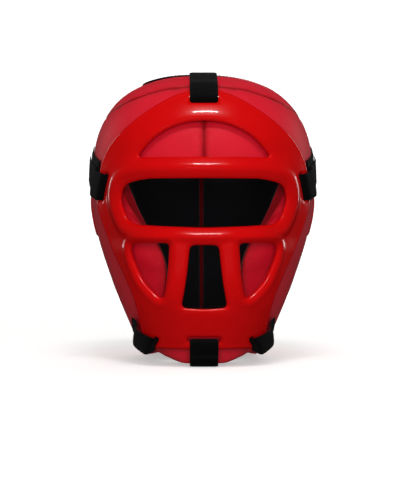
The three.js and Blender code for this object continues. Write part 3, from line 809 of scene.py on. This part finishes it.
def sewnPad(name, lower, upper, front, rear, onShell, tuck):
    # tuck: how far the inner face keeps back from each edge, which slopes the wall of a free edge
    def blend(u, w):
        u, w = u[..., None], w[..., None]
        p = atShare(lower, u[..., 0]) * (1 - w) + atShare(upper, u[..., 0]) * w
        p = p + atShare(front, w[..., 0]) * (1 - u) + atShare(rear, w[..., 0]) * u
        p = p - lower[0] * (1 - u) * (1 - w) - lower[-1] * u * (1 - w)
        return p - upper[0] * (1 - u) * w - upper[-1] * u * w

    def onBlend(u, w):
        q = blend(u, w)
        return onShell(q[..., 0], q[..., 1])

    share = np.linspace(0, 1, 25)
    middle = np.full(25, 0.5)
    lengthU = stepsAlong(onBlend(share, middle)).sum()
    lengthW = stepsAlong(onBlend(middle, share)).sum()
    insetU, insetW = pad["seamGap"] / 2 / lengthU, pad["seamGap"] / 2 / lengthW
    u = insetU + (1 - 2 * insetU) * stations(lengthU, pad["grid"], pad["edgeRound"])
    w = insetW + (1 - 2 * insetW) * stations(lengthW, pad["grid"], pad["edgeRound"])
    gridW, gridU = np.meshgrid(w, u, indexing="ij")
    base = onBlend(gridU, gridW)
    normal = outward(base)
    # distance in millimetres along the surface to each edge
    stepU = np.linalg.norm(np.diff(base, axis=1), axis=2)
    stepW = np.linalg.norm(np.diff(base, axis=0), axis=2)
    runU = np.concatenate([np.zeros((len(w), 1)), np.cumsum(stepU, 1)], 1)
    runW = np.concatenate([np.zeros((1, len(u))), np.cumsum(stepW, 0)], 0)
    away = {
        "f": runU, "r": runU[:, -1:] - runU, "l": runW, "u": runW[-1:] - runW,
    }

    def falls(distance, radius):
        near = np.clip(distance / radius, 0, 1)
        return 1 - np.sqrt(np.maximum(1 - (1 - near) ** 2, 0))

    edge = np.maximum.reduce([falls(d, pad["edgeRound"]) for d in away.values()])
    toSeam = np.minimum.reduce(list(away.values()))
    offset = -pad["edgeDrop"] * edge - pad["slack"] * (1 - edge)
    outer = base + normal * offset[..., None]

    def kept(share, low, high, length):
        return (share * (length - low - high) + low) / length

    innerU = kept(gridU, tuck["f"], tuck["r"], lengthU)
    innerW = kept(gridW, tuck["l"], tuck["u"], lengthW)
    innerBase = onBlend(innerU, innerW)
    innerOffset = -pad["thickness"] + pad["innerRound"] * edge + pad["liningRise"]
    inner = innerBase + outward(innerBase) * innerOffset[..., None]

    rows, columns = len(w), len(u)
    border = [(0, j) for j in range(columns)] + [(i, columns - 1) for i in range(1, rows)]
    border += [(rows - 1, j) for j in range(columns - 2, -1, -1)] + [(i, 0) for i in range(rows - 2, 0, -1)]
    count = rows * columns
    points = [outer.reshape(-1, 3), inner.reshape(-1, 3)]
    outerEdge = np.array([outer[i, j] for i, j in border])
    innerEdge = np.array([inner[i, j] for i, j in border])
    rings = [0.3, 0.7]
    for share in rings:
        points.append(outerEdge * (1 - share) + innerEdge * share)
    points = np.vstack(points)
    faces, slots = [], []
    for i in range(rows - 1):
        for j in range(columns - 1):
            a = i * columns + j
            faces.append((a, a + 1, a + columns + 1, a + columns))
            slots.append(0)
            faces.append((count + a, count + a + columns, count + a + columns + 1, count + a + 1))
            slots.append(1)
    loop = [[i * columns + j for i, j in border]]
    loop += [[2 * count + k * len(border) + n for n in range(len(border))] for k in range(len(rings))]
    loop += [[count + i * columns + j for i, j in border]]
    for k in range(len(loop) - 1):
        for n in range(len(border)):
            m = (n + 1) % len(border)
            faces.append((loop[k][n], loop[k + 1][n], loop[k + 1][m], loop[k][m]))
            slots.append(0)
    # painted shade: the outer face darkens towards each seam, and the walls that face each other across the
    # seams are darkened as well
    paintedSeamShade = np.concatenate([
        np.clip(1 - toSeam.ravel() / pad["seamShade"], 0, 1) ** 1.5,
        np.zeros(count),
        np.full(len(rings) * len(border), 0.7),
    ])
    materials = [finishes["leather"], finishes["lining"]]
    obj = newObject(name, points, faces, materials, slots, {"paintedSeamShade": paintedSeamShade})
    swollen = inflated(obj, loop[0] + loop[-1])
    moved = swollen - points
    far = np.linalg.norm(moved, axis=1, keepdims=True)
    moved *= np.minimum(1, pad["swell"] / np.maximum(far, 1e-6))
    # the outer face keeps to the shell's surface, dips under the straps and puckers at its seams
    base, normal, toSeam = base.reshape(-1, 3), normal.reshape(-1, 3), toSeam.ravel()
    rise = (moved[:count] * normal).sum(1) + offset.ravel()
    rise = np.minimum(rise, 0)
    for n in range(count):
        q, distance = base[n], toSeam[n]
        ripple = noise.noise(Vector(q * 0.13)) + 0.5 * noise.noise(Vector(q * 0.31))
        broad = 0.5 - 0.5 * noise.noise(Vector(q * 0.045))
        rise[n] -= pad["pucker"] * (1 + ripple) * math.exp(-distance / pad["puckerReach"]) * (distance > 0)
        rise[n] -= pad["dips"] * broad * min(distance / pad["dipsReach"], 1)
    rise -= strapDents(base, toSeam)
    points[:count] = base + normal * rise[:, None]
    points[count:2 * count] += moved[count:2 * count] * 0.5
    points[:, 2] = np.maximum(points[:, 2], pad["offFloor"])
    setPoints(obj.data, points)
    obj.modifiers.new("smooth", "SUBSURF").levels = 1
    applyModifiers(obj)
    # rows of sewing beside the seams: the same place on the shell, a little way in
    lines = {}
    t = np.linspace(0.03, 0.97, 90)
    for key in "lufr":
        share = pad["sewnIn"] / (lengthU if key in "fr" else lengthW)
        inward = np.full(len(t), share if key in "fl" else 1 - share)
        lines[key] = onCover(obj, onBlend(inward, t) if key in "fr" else onBlend(t, inward))
    return obj, lines


def onCover(obj, line):
    # a line near the shell's surface, dropped onto the finished cover
    bpy.context.view_layer.update()
    above, below, missed = 6, 8, 1.5
    landed = []
    for spot, n in zip(line, outward(line)):
        start = Vector((spot + n * above) * mm)
        hit, where, _, _ = obj.ray_cast(start, Vector(-n), distance=(above + below) * mm)
        landed.append(np.array(where) / mm if hit else spot - n * missed)
    return np.array(landed)


def inflated(obj, seam):
    # the cover blown up by pressure, held at its seams
    group = obj.vertex_groups.new(name="seam")
    group.add(seam, 1.0, "REPLACE")
    cloth = obj.modifiers.new("cover", "CLOTH")
    settings = cloth.settings
    settings.quality = 6
    settings.mass = 0.25
    settings.air_damping = 4
    settings.tension_stiffness = settings.compression_stiffness = 18
    settings.shear_stiffness = 12
    settings.bending_stiffness = 1.5
    settings.use_pressure = True
    settings.uniform_pressure_force = pad["pressure"]
    settings.shrink_min = -0.015
    settings.vertex_group_mass = "seam"
    settings.effector_weights.gravity = 0
    cloth.collision_settings.use_collision = False
    cloth.point_cache.frame_start, cloth.point_cache.frame_end = 1, pad["frames"]
    for f in range(1, pad["frames"] + 1):
        scene.frame_set(f)
    graph = bpy.context.evaluated_depsgraph_get()
    points = getPoints(obj.evaluated_get(graph).to_mesh())
    obj.evaluated_get(graph).to_mesh_clear()
    obj.modifiers.clear()
    obj.vertex_groups.clear()
    scene.frame_set(1)
    return points


def middleLay(behind, across, height):
    return np.array([across, behind, height])


def straight(start, end, steps, above):
    return [(start + (end - start) * i / steps, above) for i in range(steps + 1)]


patchLine = (templeAnchor["run"][1], -templeAnchor["run"][0])
halfClosure = strap["closureLength"] / 2
patchEnd = strap["patchStart"] + strap["patchLength"]
# name, path, width, what it is laid on, finish
tapes = [
    ("top_strap", topPath(), strap["width"], middleLay, "tape"),
    ("chin_strap", chinPath(), strap["width"], middleLay, "tape"),
    ("crown_strap", straight(0, strap["crownLength"], 9, onPad), strap["width"], onCrown, "loop"),
    ("closure_strap", straight(-halfClosure, halfClosure, 16, onPad + strap["gap"]),
     strap["closureWidth"], onAnchor(closureAnchor), "loop"),
    ("temple_patch", straight(strap["patchStart"], patchEnd, 6, onPad), strap["patchWidth"],
     onAnchor({**templeAnchor, "line": patchLine}), "loop"),
    ("temple_strap", foldedPath(templeAnchor, strap["templeTail"]), templeAnchor["width"],
     onAnchor(templeAnchor), "tape"),
    ("jaw_strap", foldedPath(jawAnchor, strap["jawTail"]), jawAnchor["width"], onAnchor(jawAnchor), "tape"),
]
pairedTapes = ("temple_patch", "temple_strap", "jaw_strap")
tapeMiddles = []
for tapeName, path, width, lay, finish in tapes:
    p = resampled(rounded(path), 4.0)
    middle = np.array([np.asarray(lay(a, 0.0, b), float).reshape(3) for a, b in p])
    tapeMiddles.append((middle, width))
    if tapeName in pairedTapes:
        tapeMiddles.append((middle * (-1, 1, 1), width))


def strapDents(points, toSeam):
    dent = np.zeros(len(points))
    for middle, width in tapeMiddles:
        near = np.min(np.linalg.norm(points[:, None] - middle[None], axis=2), axis=1)
        dent = np.maximum(dent, pad["strapDent"] * (1 - smoothStep(near, width / 2 - 1, width / 2 + 7)))
    return dent * smoothStep(toSeam, 0, 6)


pads = {}
sewing = []
pads["forehead_pad_right"], lines = sewnPad(
    "forehead_pad_right", edgeCurve(browSeam), edgeCurve(crownSeam), edgeCurve([browSeam[0], crownSeam[0]]),
    edgeCurve([browSeam[-1], crownSeam[-1]]), shellPoint, {"f": 0.5, "r": 1, "l": 6, "u": 2})
sewing += [("mirror", lines[k]) for k in "lufr"]
browCorner = (cheekEdge[-1][0], browSeam[0][1])
pads["side_pad_right"], lines = sewnPad(
    "side_pad_right", edgeCurve(jawSeam, jawLower),
    edgeCurve([browCorner, (72, browSeam[0][1]), browSeam[-1]]),
    edgeCurve(cheekEdge[:-1] + [browCorner]), edgeCurve([jawLower[-1], browSeam[-1]]), shellPoint,
    {"f": 6, "r": 1, "l": 4, "u": 1})
sewing += [("mirror", lines[k]) for k in "lufr"]
rearTurn = 180 - math.degrees((pad["rearGap"] - pad["seamGap"]) / 2 / shell["back"])
lowerBack = [(min(turn, rearTurn), rise) for turn, rise in napeLower]
upperBack = [(min(turn, rearTurn), rise) for turn, rise in backUpper]
pads["back_pad_right"], lines = sewnPad(
    "back_pad_right", edgeCurve(lowerBack), edgeCurve(upperBack),
    edgeCurve([lowerBack[0], (104, browSeam[0][1]), upperBack[0]]),
    edgeCurve([lowerBack[-1], (rearTurn, 0.5), upperBack[-1]]), shellPoint,
    {"f": 1, "r": 1, "l": 5, "u": 5})
sewing += [("mirror", lines[k]) for k in "ufr"]
# the chin pad stands on the strap that runs under it
overStrap = (strap["thickness"] + strap["gap"]) / shell["crown"]
lowerChin = [(turn, rise + overStrap) for turn, rise in chinLower]
pads["chin_pad"], lines = sewnPad(
    "chin_pad", edgeCurve(leftOf(lowerChin[1:]) + lowerChin),
    edgeCurve(leftOf(jawSeam), [jawSeam[0]], jawSeam[1:]),
    edgeCurve(leftOf([jawSeam[-1], lowerChin[-1]])), edgeCurve([lowerChin[-1], jawSeam[-1]]), shellPoint,
    {"f": 1, "r": 1, "l": 4, "u": 4})
sewing += [("one", lines[k]) for k in "lu"]


def seamPlan(share, side):
    spots = atShare(edgeCurve(crownSeam), share)
    p = shellPoint(spots[..., 0], spots[..., 1])
    return np.stack([side * p[..., 0], p[..., 1]], -1)


rearEdge = shell["middle"] + 0.21 * shell["back"]
ends = seamPlan(np.array([0.985]), 1)[0]


def rearSide(side):
    points = seamPlan(np.linspace(0.8, 0.985, 3), side)
    return spline(np.vstack([points, [[side * ends[0] * 0.975, rearEdge]]]))


frontSeam = np.vstack([seamPlan(np.linspace(0.8, 0, 9), -1), seamPlan(np.linspace(0, 0.8, 9), 1)[1:]])
rearLine = spline([rearSide(-1)[-1], (0, rearEdge), rearSide(1)[-1]])
pads["crown_pad"], lines = sewnPad(
    "crown_pad", spline(frontSeam), rearLine, rearSide(-1), rearSide(1), crownPoint,
    {"f": 2, "r": 2, "l": 2, "u": 4})
sewing += [("one", lines[k]) for k in "lufr"]
print("pads sewn")


# The face mask: drawn flat in its own plane of (turn, height), cut, thickened, then laid round the shell.

plateHeights = np.linspace(0, 262, 600)
plateRise = runAlong(shellPoint(20, plateHeights))
plateDegree = 1.86  # millimetres in the plate for a degree of turn


def toPlate(turn, height):
    return np.stack([np.asarray(turn) * plateDegree, np.interp(height, plateHeights, plateRise)], -1)


def fromPlate(flat):
    return flat[:, 0] / plateDegree, np.interp(flat[:, 1], plateRise, plateHeights)


def wallAt(turn, height):
    bulge = (maskStandAt(turn, height) - mask["rimStand"]) / (mask["barStand"] - mask["rimStand"])
    return mask["wall"] + (mask["barWall"] - mask["wall"]) * bulge, bulge


def fromFront(x, z):
    # the (turn, height) whose place on the mask lies at x, z seen from the front
    turn = np.degrees(np.arcsin(np.clip(x / 125, -0.95, 0.95)))
    height = np.array(z, float)

    def seen(turn, height):
        wall = wallAt(turn, height)[0]
        return lifted(shellPoint(turn, height), maskStandAt(turn, height) - wall / 2)

    for _ in range(30):
        here = seen(turn, height)
        slope = (seen(turn + 0.5, height)[..., 0] - here[..., 0]) / 0.5
        turn = turn + 0.7 * (x - here[..., 0]) / np.maximum(slope, 0.4)
        height = height + 0.7 * (z - here[..., 2])
    return turn, height


def windowOutline(corners, mirror):
    places = []
    for across, rise, r in corners:
        places.append((np.array([across * shell["width"] / 2, rise * shell["crown"]]), r))
    if mirror:
        places += [(c * (-1, 1), r) for c, r in reversed(places) if c[0] > 0]
    line = []
    for i, (corner, r) in enumerate(places):
        before, after = places[i - 1][0], places[(i + 1) % len(places)][0]
        reach = min(r, np.linalg.norm(corner - before) * 0.45, np.linalg.norm(corner - after) * 0.45)
        start = corner + (before - corner) / np.linalg.norm(before - corner) * reach
        end = corner + (after - corner) / np.linalg.norm(after - corner) * reach
        for t in np.linspace(0, 1, 7):
            line.append(start * (1 - t) ** 2 + 2 * corner * t * (1 - t) + end * t * t)
    line = resampled(np.vstack([line, line[:1]]), 2.0)[:-1]
    return toPlate(*fromFront(line[:, 0], line[:, 1]))


def slotOutline(anchor):
    reach = anchor["width"] / 2 + strap["slotSlack"] / 2
    back = -strap["slot"]
    corners = [spotAt(anchor, a, w) for a, w in ((0, -reach), (0, reach), (back, reach), (back, -reach))]
    return toPlate(*np.array(corners, float).T)


def softened(line, width, step=1.5):
    # a closed outline with its corners rounded off
    p = resampled(np.vstack([line, line[:1]]), step)[:-1]
    reach = int(3 * width / step)
    weights = np.exp(-0.5 * (np.arange(-reach, reach + 1) * step / width) ** 2)
    weights /= weights.sum()
    return sum(np.roll(p, k, axis=0) * weights[k + reach] for k in range(-reach, reach + 1))


def mirroredOutline(line):
    return (line * (-1, 1))[::-1]


heights = np.linspace(maskOutline[0][0], maskOutline[-1][0], 120)
spread = readTable(maskOutline, 1, heights)
rightSide = toPlate(spread, heights * shell["crown"])
outlines = {"rim": softened(np.vstack([rightSide, mirroredOutline(rightSide)]), 3.0)}
for key, corners in windows.items():
    outlines[key] = windowOutline(corners, key != "cheek")
outlines["cheekLeft"] = mirroredOutline(outlines["cheek"])
for key, anchor in (("templeSlot", templeAnchor), ("jawSlot", jawAnchor)):
    outlines[key] = slotOutline(anchor)
    outlines[key + "Left"] = mirroredOutline(outlines[key])
for key in ("topSlot", "chinSlot"):
    across, high = strap["width"] / 2 + strap["slotSlack"] / 2, strap["slot"] / 2
    corners = np.array([(-across, -high), (across, -high), (across, high), (-across, high)])
    outlines[key] = toPlate(0, strap[key]) + corners


def distanceTo(points, line):
    ends = np.roll(line, -1, axis=0)
    best = np.full(len(points), 1e9)
    for a, b in zip(line, ends):
        d = b - a
        t = np.clip(((points - a) @ d) / max(d @ d, 1e-9), 0, 1)
        best = np.minimum(best, np.hypot(*(points - a - t[:, None] * d).T))
    return best


def flatSolid(name, lines, half):
    # outlines filled in the plate's plane, holes where one lies inside another, to a solid of 2 * half
    curve = bpy.data.curves.new(name, "CURVE")
    curve.dimensions = "2D"
    curve.fill_mode = "BOTH"
    curve.extrude = half * mm
    for line in lines:
        count = len(line)
        piece = curve.splines.new("POLY")
        piece.points.add(count - 1)
        flat = np.hstack([line * mm, np.zeros((count, 1)), np.ones((count, 1))])
        piece.points.foreach_set("co", flat.ravel())
        piece.use_cyclic_u = True
    carrier = addObject(name, curve)
    graph = bpy.context.evaluated_depsgraph_get()
    graph.update()
    mesh = bpy.data.meshes.new_from_object(carrier.evaluated_get(graph))
    bpy.data.objects.remove(carrier)
    faceOutward(mesh, weld=1e-6)
    return addObject(name, mesh)


def flatPlate():
    # the jaw slots are open at the rim, so they are cut and not drawn as holes
    drawn = [line for key, line in outlines.items() if "jaw" not in key]
    obj = flatSolid("face_mask_shell", drawn, mask["flatHalf"])
    tool = flatSolid("jaw slot cutter", [outlines["jawSlot"], outlines["jawSlotLeft"]], mask["flatHalf"] + 2)
    cutWith(obj, "jaw slots", tool)
    remesh = obj.modifiers.new("even", "REMESH")
    remesh.mode = "VOXEL"
    remesh.voxel_size = mask["voxel"] * mm
    applyModifiers(obj)
    bpy.data.objects.remove(tool)
    return obj


def mouldedMask():
    obj = flatPlate()
    points = getPoints(obj.data)
    flat = points[:, :2]
    toEdge = {key: distanceTo(flat, line) for key, line in outlines.items()}
    nearest = np.minimum.reduce(list(toEdge.values()))
    openings = np.minimum.reduce([d for key, d in toEdge.items() if "Slot" not in key])
    turn, height = fromPlate(flat)
    wall, bulge = wallAt(turn, height)
    depth = np.clip(points[:, 2] / mask["flatHalf"], -1, 1)
    # the cut edges are rolled over: the wall thins to a rounded lip
    r = mask["edgeRound"]
    near = np.minimum(nearest, r)
    lip = 1 - (r - np.sqrt(np.maximum(r * r - (r - near) ** 2, 0))) / (wall / 2)
    depth = np.clip(depth, -lip, lip)
    arch = mask["arch"] * (0.35 + 0.65 * bulge)
    lift = arch * (1 - (1 - np.clip(openings / mask["archReach"], 0, 1)) ** 2) - arch
    lift += mask["browRidge"] * (bump(toEdge["eye"], mask["browRidgeReach"]) - 0.5) * eyeFade(height)
    cheek = np.minimum(toEdge["cheek"], toEdge["cheekLeft"])
    lift += mask["cheekLip"] * bump(cheek, mask["cheekLipReach"])
    lift += mask["rimLip"] * bump(toEdge["rim"], mask["rimLipReach"])
    above = maskStandAt(turn, height) - wall / 2 + lift + depth * wall / 2
    setPoints(obj.data, lifted(shellPoint(turn, height), above))
    obj.data.materials.clear()
    obj.data.materials.append(finishes["plastic"])
    shadeSmooth(obj.data)
    smooth = obj.modifiers.new("polish", "SMOOTH")
    smooth.factor = 0.5
    smooth.iterations = 5
    applyModifiers(obj)
    return obj


def bump(distance, reach):
    return 0.5 * (1 + np.cos(math.pi * np.clip((distance - reach) / reach, -1, 1)))


def eyeFade(height):
    rise = height / shell["crown"]
    return smoothStep(rise, 0.38, 0.44) * (1 - smoothStep(rise, 0.7, 0.76))


faceMask = mouldedMask()
place(faceMask, ["face_mask"])
print("mask moulded,", len(faceMask.data.polygons), "faces")

# Pads into the frame, the left ones as mirror images

for padName in list(pads):
    obj = pads[padName]
    if padName.endswith("_right"):
        other = padName.replace("_right", "_left")
        pads[other] = mirroredCopy(obj, other + "_cover")
    obj.name = obj.data.name = padName + "_cover"
for padName, obj in pads.items():
    place(obj, [padName])

ear = {
    "across": 13.0,
    "up": 18.0,
    "behind": shell["middle"] + 0.03 * shell["back"],
    "height": 0.508 * shell["crown"],
    "binding": 2.2,
    "cutterX": 110.0,
    "cutterLength": 200.0,
}


def earOutline(side, offset, count=64):
    turn = np.linspace(0, math.tau, count, endpoint=False)
    y = ear["behind"] + ear["across"] * np.cos(turn)
    z = ear["height"] + ear["up"] * np.sin(turn)
    degrees = np.full(count, 90.0)
    for _ in range(25):  # turn until the points on the shell stand above y
        degrees += (y - shellPoint(degrees, z)[:, 1]) / 1.8
    spot = shellPoint(degrees, z)
    n = outward(spot)
    return (spot + n * offset) * (side, 1, 1), n * (side, 1, 1)


def cords(name, lines, radius, sides, paintedSeamShade, closed=False):
    # cords rolled from cover material, each along a line of points and normals
    points, faces = [], []
    for line, normals in lines:
        ahead = np.roll(line, -1, axis=0) - np.roll(line, 1, axis=0) if closed else np.gradient(line, axis=0)
        side = np.cross(unit(ahead), normals)
        first = len(points)
        for i in range(len(line)):
            for k in range(sides):
                a = math.tau * k / sides
                points.append(line[i] + radius * (side[i] * math.cos(a) + normals[i] * math.sin(a)))
        faces += ringFaces(len(line), sides, first, closed)
        if not closed:
            faces.append(tuple(range(first, first + sides)))
            faces.append(tuple(range(len(points) - sides, len(points))))
    # painted shade: a cord lying in a seam takes the seam's darker red by this share
    shade = {"paintedSeamShade": np.full(len(points), paintedSeamShade)}
    return newObject(name, points, faces, [finishes["leather"]], attributes=shade)


def welts(name, lines, radius):
    return cords(name, [(line, outward(line)) for line in lines], radius, 8, 1.0)


def seamLine(rows, side=1):
    spots = resampled(edgeCurve(rows), 1.0)
    line = resampled(shellPoint(spots[:, 0], spots[:, 1]), 3.0)
    return lifted(line, np.full(len(line), -pad["edgeDrop"] - 0.8)) * (side, 1, 1)


seamRows = [
    [browCorner, (72, browSeam[0][1]), browSeam[-1]],
    [jawLower[-1], browSeam[-1], crownSeam[-1]],
    jawSeam,
]
weltLines = [seamLine(rows, side) for rows in seamRows for side in (1, -1)]
weltLines += [seamLine([browSeam[0], crownSeam[0]]), seamLine(leftOf(crownSeam[1:]) + crownSeam)]
place(welts("seam_welts", weltLines, pad["welt"]), [])
rearLow = pad["openingLow"] / shell["crown"]
rearOpening = seamLine([(180, rearLow), (180, 0.3), (180, 0.6), (180, backUpper[-1][1] - rearLow)])
besides = np.array([pad["piping"] * 0.96, 0, 0])
rearLines = [rearOpening + besides, rearOpening - besides]
place(welts("rear_piping", rearLines, pad["piping"]), [])
print("seams welted")

for side, word in ((1, "right"), (-1, "left")):
    cutter = bpy.data.meshes.new("ear cutter")
    solid = bmesh.new()
    bmesh.ops.create_cone(solid, cap_ends=True, segments=64, radius1=1, radius2=1, depth=1)
    solid.to_mesh(cutter)
    solid.free()
    tool = addObject("ear cutter", cutter)
    tool.scale = (ear["up"] * mm, ear["across"] * mm, ear["cutterLength"] * mm)
    tool.rotation_euler = (0, math.pi / 2, 0)
    tool.location = (side * ear["cutterX"] * mm, ear["behind"] * mm, ear["height"] * mm)
    cutWith(pads["side_pad_" + word], "ear hole", tool)
    bpy.context.view_layer.update()
    applyModifiers(pads["side_pad_" + word])
    bpy.data.objects.remove(tool)
    outline = earOutline(side, -pad["slack"] - 0.5)
    ring = cords("ear_binding_" + word, [outline], ear["binding"], 10, 0.4, closed=True)
    place(ring, [])
print("ear holes bound")

# Straps into the frame

strapRings = {}
for tapeName, path, width, lay, finish in tapes:
    paired = tapeName in pairedTapes
    name = tapeName + "_right" if paired else tapeName
    obj, rings = tapeObject(name + "_tape", path, width, lay, finish)
    strapRings[name] = rings
    place(obj, [name])
    if paired:
        other = mirroredCopy(obj, tapeName + "_left_tape")
        place(other, [tapeName + "_left"])
print("straps laid")

# Sewing: a row beside each seam on each pad, and a row along each edge of the straps

rows = []
for kind, line in sewing:
    spots = line[::2]
    n = outward(spots)
    rows.append((spots, n))
    if kind == "mirror":
        rows.append((spots * (-1, 1, 1), n * (-1, 1, 1)))
seamThread = stitches("seam_stitching", rows, "redThread", padStitch)
place(seamThread, [])


def tapeRow(rings, column, start, end):
    line = rings[start:end, column]
    ahead = np.gradient(line, axis=0)
    across = rings[start:end, column + 1] - rings[start:end, column - 1]
    n = unit(np.cross(across, ahead))
    return line, n * np.sign((n * outward(line)).sum(1))[:, None]


tapeRows = []
# these are sewn along their whole length, the other straps where they lie on a pad or on themselves
sewnWhole = ("crown_strap", "closure_strap", "temple_patch_right")
for name, rings in strapRings.items():
    if name in ("chin_strap", "jaw_strap_right"):
        continue
    count = len(rings)
    start = 0 if name in sewnWhole else int(count * 0.55)
    for column in (1, strap["lanes"] - 2):
        line, n = tapeRow(rings, column, start, count)
        tapeRows.append((line + n * 0.05, n))
        if name.endswith("_right"):
            tapeRows.append(((line + n * 0.05) * (-1, 1, 1), n * (-1, 1, 1)))
tapeThread = stitches("strap_stitching", tapeRows, "blackThread", strapStitch)
place(tapeThread, [])
print("sewing done")

# Studio: a pale floor that turns up all round, soft lamps and the camera at the photograph's angle

studio = {
    "floor": "#f2f2f0",
    "floorLight": "#f6f6f5",
    "mottle": 1 / 6,  # metres
    "floorRadius": 2.0,
    "bendRadius": 0.6,
    "wallHeight": 2.6,
    "paperGlow": 0.4,  # light that comes through the paper, as from lamps behind it
    "world": 0.25,
    "middle": (0, 0, 0.13),  # where the lamps point
    "distance": 1.4,
    "cameraHeight": 0.114,
    "aimX": -0.0026,
    "turn": math.radians(0.7),
    "lens": 108.8,
    "sensor": 36,
}


def backdrop():
    # a round paper floor, uncoated and matte, whose edge curves up into a wall: every view has pale ground
    flat, bend, top = studio["floorRadius"], studio["bendRadius"], studio["wallHeight"]
    profile = [(0.0001, 0), (flat * 0.5, 0), (flat, 0)]
    for a in np.linspace(0.1, math.pi / 2, 10):
        profile.append((flat + bend * math.sin(a), bend - bend * math.cos(a)))
    profile.append((flat + bend, top))
    sides = 96
    turns = np.linspace(0, math.tau, sides, endpoint=False)
    points = [(r * math.cos(t), r * math.sin(t), z) for r, z in profile for t in turns]
    mesh = bpy.data.meshes.new("paper_backdrop")
    mesh.from_pydata(points, [], ringFaces(len(profile), sides))
    shadeSmooth(mesh)
    material, tree, shader = newMaterial("paper_backdrop_matte", {
        "Roughness": 0.95, "Specular IOR Level": 0.1,
        "Emission Color": (1, 1, 1, 1), "Emission Strength": studio["paperGlow"],
    })
    where = addNode(tree, "ShaderNodeTexCoord").outputs["Object"]
    mottle = addNode(tree, "ShaderNodeTexNoise", {"Scale": 1 / studio["mottle"]}, {"Vector": where})
    colour = addNode(tree, "ShaderNodeMix", {
        "data_type": "RGBA",
        mixFirst: toLinear(studio["floor"]), mixSecond: toLinear(studio["floorLight"]),
    }, {mixFactor: mottle.outputs["Fac"]}).outputs[mixResult]
    tree.links.new(colour, shader.inputs["Base Color"])
    mesh.materials.append(material)
    obj = addObject("paper_backdrop", mesh)
    obj.visible_glossy = False
    obj.visible_diffuse = False  # its white ground adds no light of its own to the part


def lamp(name, size, power, location, target=studio["middle"], mirrored=True, spread=180):
    # mirrored: whether it shows as a highlight
    data = bpy.data.lights.new(name, "AREA")
    data.shape = "RECTANGLE"
    data.size, data.size_y = size
    data.energy = power
    data.spread = math.radians(spread)
    obj = addObject(name, data)
    obj.location = location
    obj.rotation_euler = (Vector(target) - Vector(location)).to_track_quat("-Z", "Y").to_euler()
    obj.visible_glossy = mirrored


backdrop()
lamp("strip_top", (0.28, 0.045), 2.8, (0.03, -0.75, 1.25))
lamp("softbox_top", (0.6, 0.4), 4.6, (0.05, -0.7, 1.3), mirrored=False)
lamp("strip_left", (0.12, 0.8), 1.0, (-1.1, 0.75, 0.45))
lamp("strip_right", (0.12, 0.8), 1.2, (1.1, 0.75, 0.45))
lamp("fill_front", (0.9, 0.9), 15.5, (0.0, -1.7, 0.3), mirrored=False)
lamp("fill_back", (0.9, 0.9), 9, (0.3, 1.6, 0.7), mirrored=False)
lamp("backdrop_lamp", (1.8, 0.5), 12, (0, 0.7, 2.2), (0, 2.6, 0.3), mirrored=False, spread=90)
world = bpy.data.worlds.new("studio")
world.use_nodes = True
ambient = world.node_tree.nodes["Background"].inputs
ambient["Color"].default_value = (1, 1, 1, 1)
ambient["Strength"].default_value = studio["world"]
world.cycles_visibility.glossy = False
scene.world = world
scene.view_settings.view_transform = "Standard"

cameraData = bpy.data.cameras.new("camera")
cameraData.lens = studio["lens"]
cameraData.sensor_width = studio["sensor"]
camera = addObject("camera", cameraData)
turn, reach, height = studio["turn"], studio["distance"], studio["cameraHeight"]
camera.location = (-reach * math.sin(turn), -reach * math.cos(turn), height)
aim = Vector((studio["aimX"], 0, height)) - camera.location
camera.rotation_euler = aim.to_track_quat("-Z", "Y").to_euler()
scene.camera = camera
print("studio lit")
